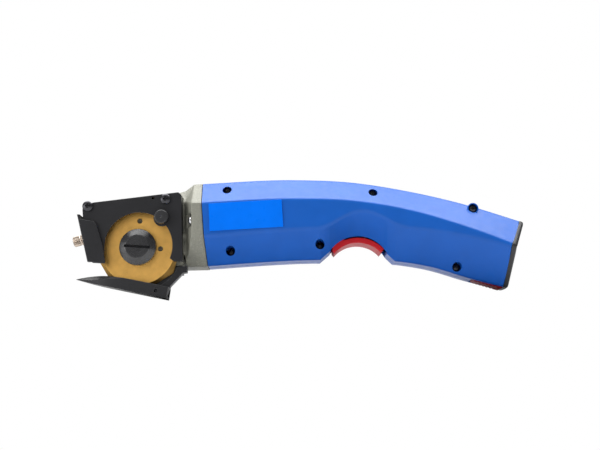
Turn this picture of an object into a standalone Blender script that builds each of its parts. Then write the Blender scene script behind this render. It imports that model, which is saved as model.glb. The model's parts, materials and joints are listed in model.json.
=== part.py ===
"""Cordless round-knife cloth cutter.

Everything is designed in millimetres in the cutter's own frame: the blade turns about the Y axis
through the origin, +X runs back along the handle, +Z is up, and the knife cover faces -Y.
The last step stands the finished cutter on the ground plane, centred on the world origin.
"""

import math

import bmesh
import bpy
import numpy as np
from mathutils import Matrix, Vector

MM = 0.001
GAP = 0.3

# Handle: heights along X of the four edges that shape its section, and the section's half widths.
TOP_LINE = ((32, 40.7), (95, 42.0), (130, 39.7), (165, 33.4), (200, 24.3), (240, 10.6))
RIDGE_LINE = ((32, 25.1), (95, 26.4), (130, 24.4), (165, 17.7), (200, 6.2), (240, -10.4))
WAIST_LINE = ((32, 4.1), (105, 7.6), (170, 6.0), (200, 0.6), (240, -11.3))
BOTTOM_LINE = ((32, -10.9), (110, -9.5), (160, -11.9), (177, -15.2), (200, -22.6), (240, -33.6))
TOP_HALF, HANDLE_HALF, BOTTOM_HALF = 5.0, 23.0, 9.0
WALL = 2.2
FRONT_X, REAR_X = 36.0, 239.0
FRONT_SEAM_X, FRONT_SEAM_Z, FRONT_LEAN = 39.5, 26.0, -3.4

# Finger recess: an arc under the handle, with the trigger filling its opening.
RECESS_X, RECESS_Z, RECESS_R = 133.2, -16.0, 20.3
WAIST_HUMP, HUMP_HALF_LENGTH = 9.7, 29.0
TRIGGER_X, TRIGGER_Z, TRIGGER_R, TRIGGER_DEPTH, TRIGGER_HALF = 133.3, -18.0, 18.7, 3.3, 8.7
TRIGGER_OPENING = (116.8, 151.2)
FRONT_RAMP, REAR_RAMP = ((110.5, -9.4), (117.5, -3.6)), ((150.5, -5.8), (155.6, -11.1))
PIVOT_X, PIVOT_Z, PIN_R, PIVOT_EAR_R = 117.5, 4.0, 1.3, 2.6

# Shell screws: wells in the near half, threads in the far half.
SHELL_SCREWS = ((54.1, 34.9), (143.9, 31.1), (205.6, 20.4), (55.9, -3.4), (110.3, -0.7), (193.3, -16.1))
WELL_R, WELL_FLOOR, SHANK_R, BOSS_R = 2.85, -6.5, 1.3, 4.0

# Battery: its frame starts at the middle of the handle's rear face and points out of it.
# The rear face is swept: it follows an upright cylinder, so its sides lie further forward.
BATTERY = (228.1, -8.1, 17.5)
SWEEP_R, CAP_THICKNESS, CAP_PROUD = 68.0, 2.7, 0.2
CASE_LENGTH, CASE_SIDE = 57.0, ((4.5, 15.0), (15.5, 3.0), (16.0, -6.0), (9.0, -13.2))
CELL_R, CELL_LENGTH, CELL_START = 6.2, 50.0, -4.8
CELLS = ((-6.8, -4.8), (6.8, -4.8), (0.0, 7.2))
LATCH_LENGTH, LATCH_HALF = 18.8, 6.0

# Drive: the motor turns a lay shaft, and the lay shaft turns the blade spindle through bevel teeth.
MOTOR_Z, MOTOR_R, MOTOR_FRONT, MOTOR_REAR = 15.0, 13.9, 47.0, 91.0
LAYSHAFT_R, SPUR_TEETH, SPUR_TIP, PINION_TEETH, PINION_TIP = 2.5, 28, 9.3, 15, 5.3
BEVEL_TEETH, BEVEL_TIP, CROWN_TEETH, CROWN_R = 9, 3.3, 27, 13.2

# Blade and what holds it.
BLADE_SIDES, BLADE_FLATS, BLADE_FRONT, BLADE_THICKNESS = 8, 49.0, -14.5, 1.2
BLADE_TURN, BLADE_BEVEL = -37.0, 3.6
BLADE_R = BLADE_FLATS / 2 / math.cos(math.pi / BLADE_SIDES)
SPINDLE_R, NUT_R, NUT_TOP_R, NUT_FRONT = 4.0, 11.1, 7.2, -20.0
HEAD_FRONT, HEAD_REAR, HEAD_R, HEAD_BOTTOM = -11.4, 13.0, 16.5, -11.6
CAVITY_R, BEARING_R = 14.0, 9.5
GEARBOX_SCREWS, ARM_SCREW_X, ARM_SCREW_YS = ((8.9, 15.4), (-15.4, 8.9)), 21.5, (-6.0, 5.0)
REAR_SCREW_Y, REAR_SCREW_Z, REAR_SCREW_BORE = 16.8, 15.3, 1.7

# Knife cover, sharpener and finger guard.
COVER_BACK, COVER_FRONT, COVER_SHEET = -19.5, -20.5, 1.0
OPENING_X, OPENING_Z, OPENING_R = 1.0, 0.2, 20.4
COVER_SCREWS = ((-29.7, 25.1), (17.3, 28.4))
COVER_TOP_SLOPE, COVER_CORNER = (32.6 - 27.2) / (25.0 + 29.7), (25.0, 32.6)
BUTTON_X, BUTTON_Z, BUTTON_R, LUG_R = 15.2, 17.0, 4.2, 5.2
GUARD_X, GUARD_LEAN, GUARD_SHEET, GUARD_NEAR = -31.2, 13.0, 1.5, -22.6
THUMB_Z, THUMB_Y, THUMB_R = 8.0, -4.0, 3.2

# Foot: its sole and top are parallel lines at these distances from the blade's axis.
FOOT_SLOPE, FOOT_TOP, FOOT_SOLE, FOOT_HALF = 12.9, 20.3, 27.2, 8.4
FOOT_PIN, FOOT_HEEL_FAR = (11.6, -27.3), 16.4
FOOT_Y = BLADE_FRONT + BLADE_THICKNESS / 2

parts = None
cutters = None
origin = None


# ---------------------------------------------------------------- scene and materials


def clear_scene():
    for obj in list(bpy.data.objects):
        bpy.data.objects.remove(obj, do_unlink=True)


def new_collection(name):
    collection = bpy.data.collections.new(name)
    bpy.context.scene.collection.children.link(collection)
    return collection


def material(name, colour, roughness, metallic=0.0):
    made = bpy.data.materials.get(name)
    if made:
        return made
    made = bpy.data.materials.new(name)
    made.use_nodes = True
    shader = made.node_tree.nodes["Principled BSDF"]
    shader.inputs["Base Color"].default_value = (*colour, 1.0)
    shader.inputs["Roughness"].default_value = roughness
    shader.inputs["Metallic"].default_value = metallic
    made.diffuse_color = (*colour, 1.0)
    return made


def shell_blue():
    return material("shell_blue", (0.03, 0.13, 0.55), 0.4)


def cast_grey():
    return material("cast_aluminium", (0.36, 0.36, 0.33), 0.55, 0.8)


def black_sheet():
    return material("black_sheet_steel", (0.03, 0.03, 0.035), 0.45, 0.4)


def steel():
    return material("bright_steel", (0.55, 0.55, 0.56), 0.3, 1.0)


def black_screw():
    return material("blackened_steel", (0.05, 0.05, 0.055), 0.35, 0.8)


# ---------------------------------------------------------------- shape helpers


def add(name, mesh, finish=None, helper=False):
    """An object for a mesh: a visible sub-part, or a hidden cutter when helper is set."""
    obj = bpy.data.objects.new(name, mesh)
    (cutters if helper else parts).objects.link(obj)
    obj.parent = origin
    if helper:
        obj.hide_render = True
        obj.display_type = "WIRE"
    if finish:
        mesh.materials.append(finish)
    return obj


def mesh_from(bm, name):
    bmesh.ops.recalc_face_normals(bm, faces=bm.faces)
    mesh = bpy.data.meshes.new(name)
    bm.to_mesh(mesh)
    bm.free()
    return mesh


def smooth_shaded(obj, angle=35.0):
    obj.data.shade_smooth()
    obj.data.set_sharp_from_angle(angle=math.radians(angle))
    return obj


def block(name, low, high, finish=None, helper=False):
    """A box between two corners."""
    bm = bmesh.new()
    bmesh.ops.create_cube(bm, size=1.0)
    size = [(b - a) * MM for a, b in zip(low, high)]
    bmesh.ops.scale(bm, vec=size, verts=bm.verts)
    obj = add(name, mesh_from(bm, name), finish, helper)
    obj.location = [(a + b) / 2 * MM for a, b in zip(low, high)]
    return obj


def rods(name, radius, spans, sides=24, finish=None, helper=False):
    """One or more straight cylinders, each between the two points of a span."""
    bm = bmesh.new()
    for start, end in spans:
        start, end = Vector(start) * MM, Vector(end) * MM
        turn = (end - start).to_track_quat("Z", "Y").to_matrix().to_4x4()
        bmesh.ops.create_cone(
            bm, cap_ends=True, segments=sides, radius1=radius * MM, radius2=radius * MM,
            depth=(end - start).length, matrix=Matrix.Translation((start + end) / 2) @ turn,
        )
    return smooth_shaded(add(name, mesh_from(bm, name), finish, helper))


def along_y(x, z, low, high):
    return ((x, low, z), (x, high, z))


def spans_along_y(places, low, high):
    return [along_y(x, z, low, high) for x, z in places]


def turned(name, profile, place, axis, steps=32, finish=None, helper=False):
    """A solid of revolution: the profile's (radius, height) points run out, down and back in."""
    mesh = bpy.data.meshes.new(name)
    points = [(r * MM, 0.0, h * MM) for r, h in profile]
    mesh.from_pydata(points, [(i, i + 1) for i in range(len(points) - 1)], [])
    obj = add(name, mesh, finish, helper)
    obj.location = Vector(place) * MM
    obj.rotation_mode = "QUATERNION"
    obj.rotation_quaternion = Vector(axis).to_track_quat("Z", "Y")
    screw = obj.modifiers.new("Screw", "SCREW")
    screw.steps = screw.render_steps = steps
    screw.use_merge_vertices = True
    screw.merge_threshold = 1e-5
    screw.use_smooth_shade = False
    if profile[0][0] > 0:
        weld = obj.modifiers.new("Weld", "WELD")
        weld.merge_threshold = 1e-5
    return obj


def ring(inner, outer, length):
    """The closed profile of a plain ring, centred on its own middle."""
    half = length / 2
    return [(inner, half), (outer, half), (outer, -half), (inner, -half), (inner, half)]


def arc(x, z, radius, start, end, count):
    angles = np.radians(np.linspace(start, end, count))
    return [(x + radius * math.cos(a), z + radius * math.sin(a)) for a in angles]


def flat(name, outlines, near, far, finish=None, helper=False, upright=True):
    """Flat outlines, the first the edge and the rest holes, thickened from near to far along Y.

    With upright off the outlines lie in XY instead, and near and far are heights.
    """
    curve = bpy.data.curves.new(name, "CURVE")
    curve.dimensions = "2D"
    curve.fill_mode = "BOTH"
    curve.extrude = abs(far - near) / 2 * MM
    for outline in outlines:
        spline = curve.splines.new("POLY")
        spline.points.add(len(outline) - 1)
        for point, (u, v) in zip(spline.points, outline):
            point.co = (u * MM, v * MM, 0.0, 1.0)
        spline.use_cyclic_u = True
    drawn = bpy.data.objects.new(name + "_outline", curve)
    parts.objects.link(drawn)
    bpy.context.view_layer.update()
    graph = bpy.context.evaluated_depsgraph_get()
    mesh = bpy.data.meshes.new_from_object(drawn.evaluated_get(graph))
    bpy.data.objects.remove(drawn, do_unlink=True)
    bpy.data.curves.remove(curve)
    mesh.name = name
    bm = bmesh.new()
    bm.from_mesh(mesh)
    bmesh.ops.remove_doubles(bm, verts=bm.verts, dist=1e-6)
    bmesh.ops.recalc_face_normals(bm, faces=bm.faces)
    bm.to_mesh(mesh)
    bm.free()
    obj = add(name, mesh, finish, helper)
    middle = (near + far) / 2 * MM
    if upright:
        obj.rotation_euler.x = math.pi / 2
        obj.location.y = middle
    else:
        obj.location.z = middle
    return obj


def gear_outline(teeth, tip, depth):
    """Four corners a tooth, with the flanks leaning in towards the tip."""
    pitch = math.tau / teeth
    shape = ((0.12, tip), (0.38, tip), (0.52, tip - depth), (0.98, tip - depth))
    corners = [(pitch * (i + part), r) for i in range(teeth) for part, r in shape]
    return [(r * math.cos(a), r * math.sin(a)) for a, r in corners]


def gear(name, teeth, tip, depth, bore, x, z, length, finish):
    """A toothed wheel on an axis along X that starts at x and is bored for its shaft."""
    hole = arc(0, 0, bore, 0, 360, 17)[:-1]
    obj = flat(name, [gear_outline(teeth, tip, depth), hole], 0.0, length, finish, upright=False)
    obj.rotation_euler.y = math.pi / 2
    obj.location = ((x + length / 2) * MM, 0.0, z * MM)
    return obj


def boolean(target, other, operation):
    modifier = target.modifiers.new(other.name, "BOOLEAN")
    modifier.operation = operation
    modifier.object = other
    modifier.solver = "EXACT"


def cut(target, *tools):
    for tool in tools:
        boolean(target, tool, "DIFFERENCE")


def join(target, *others):
    for other in others:
        boolean(target, other, "UNION")


def screw(name, head_r, head_length, shank_r, length, place, axis, finish):
    """A domed fastener with the top of its head at place and its shank running along axis."""
    profile = [(0, 0), (head_r * 0.75, 0), (head_r, -head_length * 0.4), (head_r, -head_length)]
    profile += [(shank_r, -head_length), (shank_r, -length + 0.6), (shank_r - 0.6, -length), (0, -length)]
    turned(name, profile, place, [-a for a in axis], steps=12, finish=finish)


def tilted(x, z, lean, u, v):
    """The point u along and v up in a frame at (x, z) whose u axis dips by lean degrees."""
    lean = math.radians(lean)
    return (x + u * math.cos(lean) + v * math.sin(lean), z - u * math.sin(lean) + v * math.cos(lean))


def tilted_block(name, x, z, lean, low, high, finish=None, helper=False):
    """A box between corners (u, y, v) of the frame that tilted describes."""
    obj = block(name, low, high, finish, helper)
    u, y, v = [(a + b) / 2 for a, b in zip(low, high)]
    cx, cz = tilted(x, z, lean, u, v)
    obj.location = (cx * MM, y * MM, cz * MM)
    obj.rotation_euler.y = math.radians(lean)
    return obj


# ---------------------------------------------------------------- handle


def along(line, x):
    """A smooth curve through the stations of a line, at x."""
    xs, zs = np.array(line, float).T
    slopes = np.gradient(zs, xs)
    i = int(np.clip(np.searchsorted(xs, x) - 1, 0, len(xs) - 2))
    span = xs[i + 1] - xs[i]
    t = (x - xs[i]) / span
    ends = (2 * t**3 - 3 * t**2 + 1) * zs[i] + (3 * t**2 - 2 * t**3) * zs[i + 1]
    return ends + span * ((t**3 - 2 * t**2 + t) * slopes[i] + (t**3 - t**2) * slopes[i + 1])


def half_section(x, inset=0.0):
    """(half width, height) down one side of the handle at x, from the top seam to the bottom one."""
    top, ridge = along(TOP_LINE, x), along(RIDGE_LINE, x)
    half = HANDLE_HALF - inset
    waist, bottom = along(WAIST_LINE, x), along(BOTTOM_LINE, x)
    if abs(x - RECESS_X) < HUMP_HALF_LENGTH + 3:
        hump = math.cos(math.pi / 2 * np.clip((x - RECESS_X - 3) / HUMP_HALF_LENGTH, -1, 1)) ** 2
        waist += WAIST_HUMP * hump
    if abs(x - RECESS_X) < RECESS_R:
        bottom = max(bottom, RECESS_Z + math.sqrt(RECESS_R**2 - (x - RECESS_X) ** 2))
    for ramp in (FRONT_RAMP, REAR_RAMP):
        (x0, z0), (x1, z1) = ramp
        if x0 < x < x1:
            bottom = max(bottom, z0 + (x - x0) * (z1 - z0) / (x1 - x0))
    waist = min(waist, ridge - 0.8)
    middle = (ridge + waist) / 2
    ridge = max(ridge - inset * 0.4, middle + 0.3)
    waist = min(waist + inset * 0.4, middle - 0.3)
    return [
        (0.0, top - inset), (TOP_HALF - inset * 0.4, top - inset), (half, ridge),
        (half, waist), (BOTTOM_HALF - inset * 0.4, bottom + inset), (0.0, bottom + inset),
    ]


def handle_stations():
    return np.concatenate([
        np.linspace(FRONT_X, 104, 8), np.linspace(111, 156, 19), np.linspace(163, REAR_X, 11),
    ])


def shell_surface(name, side):
    """One half of the handle's outside, open along the seam and at both ends."""
    bm = bmesh.new()
    rows = []
    for x in handle_stations():
        points = half_section(x)
        rows.append([bm.verts.new((x * MM, side * max(y, GAP / 2) * MM, z * MM)) for y, z in points])
    for row, following in zip(rows, rows[1:]):
        for j in range(len(row) - 1):
            face = [row[j], following[j], following[j + 1], row[j + 1]]
            bm.faces.new(face if side > 0 else face[::-1])
    mesh = bpy.data.meshes.new(name)
    bm.to_mesh(mesh)
    bm.free()
    return mesh


def handle_form(name, stations, inset, finish=None, helper=True):
    """The handle's whole section as a solid, drawn in by inset, through the stations."""
    bm = bmesh.new()
    rows = []
    for x in stations:
        side = half_section(x, inset)
        points = side + [(-y, z) for y, z in side[-2:0:-1]]
        rows.append([bm.verts.new((x * MM, y * MM, z * MM)) for y, z in points])
    for row, following in zip(rows, rows[1:]):
        for j in range(len(row)):
            k = (j + 1) % len(row)
            bm.faces.new([row[j], following[j], following[k], row[k]])
    bm.faces.new(rows[0])
    bm.faces.new(rows[-1])
    return add(name, mesh_from(bm, name), finish, helper)


def rear_cylinder(name, offset):
    """The upright cylinder that the swept rear face follows, made larger by offset."""
    x, z, lean = BATTERY
    low, high = [tilted(x, z, lean, -SWEEP_R, v) for v in (-55, 55)]
    return rods(name, SWEEP_R + offset, [((low[0], 0, low[1]), (high[0], 0, high[1]))], 160, helper=True)


def rear_trim(name, offset):
    """A cutter for all that lies behind the swept rear face, moved out by offset."""
    trim = tilted_block(name, *BATTERY, (-14, -40, -50), (60, 40, 50), helper=True)
    cut(trim, rear_cylinder(name + "_cylinder", offset))
    return trim


def shell_ends(obj):
    """Trims the front edge to its leaning plane and the rear edge to the swept face."""
    front = (FRONT_SEAM_X, FRONT_SEAM_Z, FRONT_LEAN)
    cut(
        obj,
        tilted_block(obj.name + "_front_trim", *front, (-20, -40, -60), (0, 40, 40), helper=True),
        rear_trim(obj.name + "_rear_trim", 0.0),
    )


def build_shell(name, side):
    obj = add(name, shell_surface(name, side), shell_blue())
    solid = obj.modifiers.new("Solidify", "SOLIDIFY")
    solid.thickness = WALL * MM
    solid.offset = -1.0
    solid.use_even_offset = True
    reach = side * 22.0
    posts = spans_along_y(SHELL_SCREWS, side * (GAP / 2), reach)
    posts.append(along_y(PIVOT_X, PIVOT_Z, side * (TRIGGER_HALF + 0.4), reach))
    bosses = rods(name + "_bosses", BOSS_R, posts, 16, helper=True)
    clip = handle_form(name + "_clip", handle_stations()[::2], 0.9)
    boolean(bosses, clip, "INTERSECT")
    join(obj, bosses)
    low, high = (-30, 4) if side < 0 else (-5, 9.5)
    holes = spans_along_y(SHELL_SCREWS, low, high)
    holes.append(along_y(PIVOT_X, PIVOT_Z, -12.4, 12.4))
    cut(obj, rods(name + "_holes", SHANK_R + GAP, holes, 12, helper=True))
    if side < 0:
        wells = spans_along_y(SHELL_SCREWS, -30, WELL_FLOOR)
        cut(obj, rods(name + "_wells", WELL_R, wells, 20, helper=True))
    low, high = TRIGGER_OPENING
    half = TRIGGER_HALF + 0.6
    cut(obj, block(name + "_trigger_opening", (low, -half, -20), (high, half, 7.5), helper=True))
    wide, length = LATCH_HALF + 0.5, LATCH_LENGTH + 0.8
    notch = ((-length, -wide, -30), (9, wide, -17))
    cut(obj, tilted_block(name + "_latch_notch", *BATTERY, *notch, helper=True))
    shell_ends(obj)
    return obj


def build_shell_screws():
    for number, (x, z) in enumerate(SHELL_SCREWS, 1):
        place = (x, WELL_FLOOR - 2.1, z)
        screw(f"shell_screw_{number}", 2.5, 1.8, SHANK_R, 14.0, place, (0, 1, 0), black_screw())


def build_nameplate():
    corners = [(43.6, 24.4), (87.7, 26.0), (88.4, 9.2), (44.2, 7.6)]
    face = -HANDLE_HALF - GAP
    flat("nameplate", [corners], face - 0.4, face, material("label_blue", (0.0, 0.17, 0.9), 0.3))


# ---------------------------------------------------------------- trigger and switch


def build_trigger():
    outer = TRIGGER_R + TRIGGER_DEPTH
    under = arc(TRIGGER_X, TRIGGER_Z, TRIGGER_R, 139, 40, 15)
    over = arc(TRIGGER_X, TRIGGER_Z, outer, 41.5, 110, 10)
    ear = arc(PIVOT_X, PIVOT_Z, PIVOT_EAR_R, 70, 250, 9)
    front = [(PIVOT_X + 0.1, 0.8), (118.0, -4.2)]
    red = material("trigger_red", (0.5, 0.02, 0.03), 0.35)
    obj = flat("trigger", [under + over + ear + front], -TRIGGER_HALF, TRIGGER_HALF, red)
    cut(
        obj,
        rods("trigger_bore", PIN_R + GAP, [along_y(PIVOT_X, PIVOT_Z, -12, 12)], 16, helper=True),
        block("trigger_spring_slot", (PIVOT_X - 5, -3.2, 0.9), (PIVOT_X + 3.6, 3.2, 9), helper=True),
    )


def build_switch_gear():
    rods("trigger_pin", PIN_R, [along_y(PIVOT_X, PIVOT_Z, -12, 12)], 16, steel())
    turned("trigger_spring", ring(1.7, 2.4, 5.4), (PIVOT_X, 0, PIVOT_Z), (0, 1, 0), 20, steel())
    case = material("switch_black", (0.02, 0.02, 0.02), 0.5)
    switch = block("microswitch", (124, -3.2, 8.5), (144, 3.2, 18.7), case)
    cut(switch, rods("microswitch_bore", 1.7, [((138, 0, 7), (138, 0, 14.6))], 16, helper=True))
    red = material("plunger_red", (0.6, 0.05, 0.05), 0.4)
    rods("switch_plunger", 1.4, [((138, 0, 5.0), (138, 0, 12.0))], 16, red)
    board = material("board_green", (0.02, 0.16, 0.06), 0.5)
    block("control_board", (98.5, -0.8, 9.5), (121, 0.8, 34), board)


# ---------------------------------------------------------------- battery


def build_battery():
    black = material("battery_black", (0.02, 0.02, 0.022), 0.4)
    outline = list(CASE_SIDE) + [(-y, v) for y, v in CASE_SIDE[::-1]]
    case = flat("battery_case", [outline], 0.0, CASE_LENGTH, black, upright=False)
    upright = Matrix.Rotation(math.pi / 2, 4, "Z") @ Matrix.Rotation(math.pi / 2, 4, "X")
    case.rotation_euler = (Matrix.Rotation(math.radians(BATTERY[2]), 4, "Y") @ upright).to_euler()
    cx, cz = tilted(*BATTERY, -CASE_LENGTH / 2, 0)
    case.location = (cx * MM, 0, cz * MM)
    wrap = material("cell_wrap", (0.05, 0.25, 0.3), 0.35)
    bores = []
    for number, (y, v) in enumerate(CELLS, 1):
        span = lengthwise(y, v, CELL_START - CELL_LENGTH, CELL_START)
        rods(f"battery_cell_{number}", CELL_R, [span], 24, wrap)
        bores.append(lengthwise(y, v, -CASE_LENGTH - 2, CELL_START + 0.4))
    cut(case, rods("battery_bores", CELL_R + 0.3, bores, 24, helper=True))
    cut(case, rear_trim("battery_case_trim", 0.0))
    terminals = material("terminal_brown", (0.12, 0.05, 0.02), 0.5)
    end = -CASE_LENGTH - 2 * GAP
    tilted_block("terminal_block", *BATTERY, (end - 5.4, -12.0, -8.0), (end, 12.0, 9.0), terminals)


def lengthwise(y, v, start, end):
    """A span along the battery's frame at width y and height v."""
    (x0, z0), (x1, z1) = tilted(*BATTERY, start, v), tilted(*BATTERY, end, v)
    return ((x0, y, z0), (x1, y, z1))


def build_end_cap():
    black = material("cap_black", (0.02, 0.02, 0.022), 0.45)
    cap = handle_form("end_cap", np.linspace(206, 246, 6), -CAP_PROUD, black, False)
    cut(cap, rear_cylinder("end_cap_front_trim", GAP), rear_trim("end_cap_rear_trim", GAP + CAP_THICKNESS))


def build_latch():
    red = material("latch_red", (0.45, 0.02, 0.03), 0.4)
    low, high = (-LATCH_LENGTH, -LATCH_HALF, -22.6), (-0.3, LATCH_HALF, -15.4)
    tilted_block("battery_latch", *BATTERY, low, high, red)


# ---------------------------------------------------------------- drive


def rear_screw_spans(start):
    """The two lines of the screws that hold the casting to the motor mount."""
    return [((start, y, REAR_SCREW_Z), (50, y, REAR_SCREW_Z)) for y in (-REAR_SCREW_Y, REAR_SCREW_Y)]


def build_motor():
    can = material("motor_can", (0.35, 0.35, 0.36), 0.35, 1.0)
    length = MOTOR_REAR - MOTOR_FRONT
    bore = [(0, -14), (1.9, -14), (1.9, 2.6), (6.2, 2.6), (6.2, 0)]
    case = [(MOTOR_R - 1, 0), (MOTOR_R, -1), (MOTOR_R, -length + 3), (MOTOR_R - 3, -length), (0, -length)]
    turned("motor", bore + case, (MOTOR_FRONT, 0, MOTOR_Z), (-1, 0, 0), 32, can)
    rods("motor_shaft", 1.58, [((26.4, 0, MOTOR_Z), (MOTOR_FRONT + 13.5, 0, MOTOR_Z))], 16, steel())
    gear("motor_pinion", PINION_TEETH, PINION_TIP, 1.3, 1.9, 27.0, MOTOR_Z, 5.0, steel())
    mount = handle_form("motor_mount", (42.9, 46.7), WALL + 0.6, cast_grey(), False)
    posts = spans_along_y(SHELL_SCREWS[::3], -25, 25)
    cut(
        mount,
        rods("mount_shaft_hole", 6.6, [((40, 0, MOTOR_Z), (50, 0, MOTOR_Z))], 24, helper=True),
        rods("mount_bearing_seat", 4.4, [((40, 0, 0), (50, 0, 0))], 20, helper=True),
        rods("mount_screw_holes", REAR_SCREW_BORE, rear_screw_spans(40), 12, helper=True),
        rods("mount_post_clearance", BOSS_R + 0.6, posts, 16, helper=True),
    )


def build_layshaft():
    profile = [(0, 7.4), (1.5, 7.4), (1.5, 14.2), (LAYSHAFT_R, 14.2), (LAYSHAFT_R, 37.0)]
    profile += [(1.8, 37.0), (1.8, 46.4), (0, 46.4)]
    turned("layshaft", [(r, -x) for r, x in profile], (0, 0, 0), (-1, 0, 0), 20, steel())
    gear("spur_gear", SPUR_TEETH, SPUR_TIP, 1.3, LAYSHAFT_R + GAP, 27.0, 0, 5.0, steel())
    gear("bevel_pinion", BEVEL_TEETH, BEVEL_TIP, 0.9, 1.8, 8.6, 0, 5.0, steel())
    turned("layshaft_front_bearing", ring(LAYSHAFT_R + GAP, 6.5, 4.5), (17.3, 0, 0), (1, 0, 0), 24, steel())
    turned("layshaft_rear_bearing", ring(2.1, 4.1, 3.4), (44.8, 0, 0), (1, 0, 0), 20, steel())


def build_spindle():
    profile = [(0, -17.6), (SPINDLE_R - 0.6, -17.6), (SPINDLE_R, -17.0), (SPINDLE_R, 8.4)]
    profile += [(3.0, 8.4), (3.0, 12.6), (0, 12.6)]
    turned("spindle", [(r, -y) for r, y in profile], (0, 0, 0), (0, -1, 0), 24, steel())
    bore = SPINDLE_R + GAP
    turned("spindle_near_bearing", ring(bore, BEARING_R, 4.8), (0, -8.2, 0), (0, 1, 0), 32, steel())
    turned("spindle_far_bearing", ring(3.3, 7.6, 3.6), (0, 11.0, 0), (0, 1, 0), 28, steel())
    crown = turned("crown_gear", ring(bore, CROWN_R, 4.0), (0, 5.6, 0), (0, 1, 0), 27, steel())
    bm = bmesh.new()
    for i in range(CROWN_TEETH):
        turn = Matrix.Rotation(math.tau * i / CROWN_TEETH, 4, "Y")
        size = Matrix.Diagonal((5.0 * MM, 1.8 * MM, 1.2 * MM, 1))
        place = turn @ Matrix.Translation((11.4 * MM, 3.6 * MM, 0)) @ size
        bmesh.ops.create_cube(bm, size=1.0, matrix=place)
    cut(crown, add("crown_tooth_gaps", mesh_from(bm, "crown_tooth_gaps"), helper=True))


def build_blade():
    centre = arc(0, 0, SPINDLE_R + GAP, 0, 360, 25)[:-1]
    holes = [arc(x, z, 1.6, 0, 360, 13)[:-1] for x, z in ((0.8, 16.4), (13.4, -1.0))]
    bm = bmesh.new()
    edge = [(BLADE_R, BLADE_TURN + 360 / BLADE_SIDES * i) for i in range(BLADE_SIDES)]
    inner = [(BLADE_R - BLADE_BEVEL, angle) for _, angle in edge]
    back = BLADE_FRONT + BLADE_THICKNESS
    rows = []
    for corners, y in ((inner, BLADE_FRONT), (edge, back - 0.25), (edge, back)):
        angles = [(r, math.radians(angle)) for r, angle in corners]
        rows.append([bm.verts.new((r * math.cos(a) * MM, y * MM, r * math.sin(a) * MM)) for r, a in angles])
    for row, following in zip(rows, rows[1:]):
        for j in range(BLADE_SIDES):
            k = (j + 1) % BLADE_SIDES
            bm.faces.new([row[j], following[j], following[k], row[k]])
    bm.faces.new(rows[0])
    bm.faces.new(rows[-1])
    blade = add("blade", mesh_from(bm, "blade"), material("gold_coating", (0.52, 0.32, 0.08), 0.3, 1.0))
    for number, outline in enumerate([centre] + holes):
        cut(blade, flat(f"blade_hole_{number}", [outline], BLADE_FRONT - 2, back + 2, helper=True))


def build_blade_fixing():
    bore = SPINDLE_R + GAP
    back = BLADE_FRONT + BLADE_THICKNESS + GAP
    hub = [(bore, 0), (10.5, 0), (10.5, -1.1), (6.0, -1.1), (6.0, -1.9), (bore, -1.9), (bore, 0)]
    turned("blade_hub", hub, (0, back, 0), (0, -1, 0), 32, steel())
    face = BLADE_FRONT - GAP - NUT_FRONT
    nut = [(0, face), (NUT_TOP_R, face), (NUT_R, 1.6), (NUT_R, 0), (bore, 0), (bore, 3.4), (0, 3.4)]
    black = material("nut_black", (0.035, 0.035, 0.04), 0.35, 0.3)
    body = turned("blade_nut", nut, (0, BLADE_FRONT - GAP, 0), (0, -1, 0), 40, black)
    slot = ((-9.0, NUT_FRONT - 1, -0.95), (9.0, NUT_FRONT + 1.3, 0.95))
    cut(body, tilted_block("blade_nut_slot", 0, 0, 5, *slot, helper=True))


# ---------------------------------------------------------------- gear housing


def guard_x(z, depth=0.0):
    """Where the guard's leaning outer face, or the plane depth behind it, crosses the height z."""
    lean = math.radians(GUARD_LEAN)
    return GUARD_X - z * math.tan(lean) + depth / math.cos(lean)


def housing_neck():
    """The back of the casting: the handle's section, drawn in to the width of the head."""
    bm = bmesh.new()
    lean = math.tan(math.radians(FRONT_LEAN))
    rows = []
    for x, top, ridge, waist, half, narrow in (
        (23.5, 35.4, 28.0, 2.0, 11.2, 9.0), (27.8, 36.6, 28.0, 2.0, 11.2, 9.0),
        (33.1, 40.6, 25.4, 4.3, 22.6, 9.0), (None, 40.8, 25.2, 4.2, 22.7, 9.0),
    ):
        side = [(TOP_HALF, top), (half, ridge), (half, waist), (narrow, -11.9)]
        points = side + [(-y, z) for y, z in side[::-1]]
        rows.append([
            bm.verts.new(((x or FRONT_SEAM_X - GAP + (z - FRONT_SEAM_Z) * lean) * MM, y * MM, z * MM))
            for y, z in points
        ])
    for row, following in zip(rows, rows[1:]):
        for j in range(len(row)):
            k = (j + 1) % len(row)
            bm.faces.new([row[j], following[j], following[k], row[k]])
    bm.faces.new(rows[0])
    bm.faces.new(rows[-1])
    return mesh_from(bm, "gear_housing")


def head_outline():
    left = [(guard_x(z, GUARD_SHEET + 0.5), z) for z in (-1.0, 22.5)]
    around = arc(0, 0, HEAD_R, -44.5, -165, 13)
    bottom, top = [(27.0, HEAD_BOTTOM), (12.2, HEAD_BOTTOM)], [(-30.6, 25.6), (25.0, 31.2), (27.0, 31.2)]
    return bottom + around + left + top


def arm_screw_spans(top):
    return [((ARM_SCREW_X, y, -20), (ARM_SCREW_X, y, top)) for y in ARM_SCREW_YS]


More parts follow.
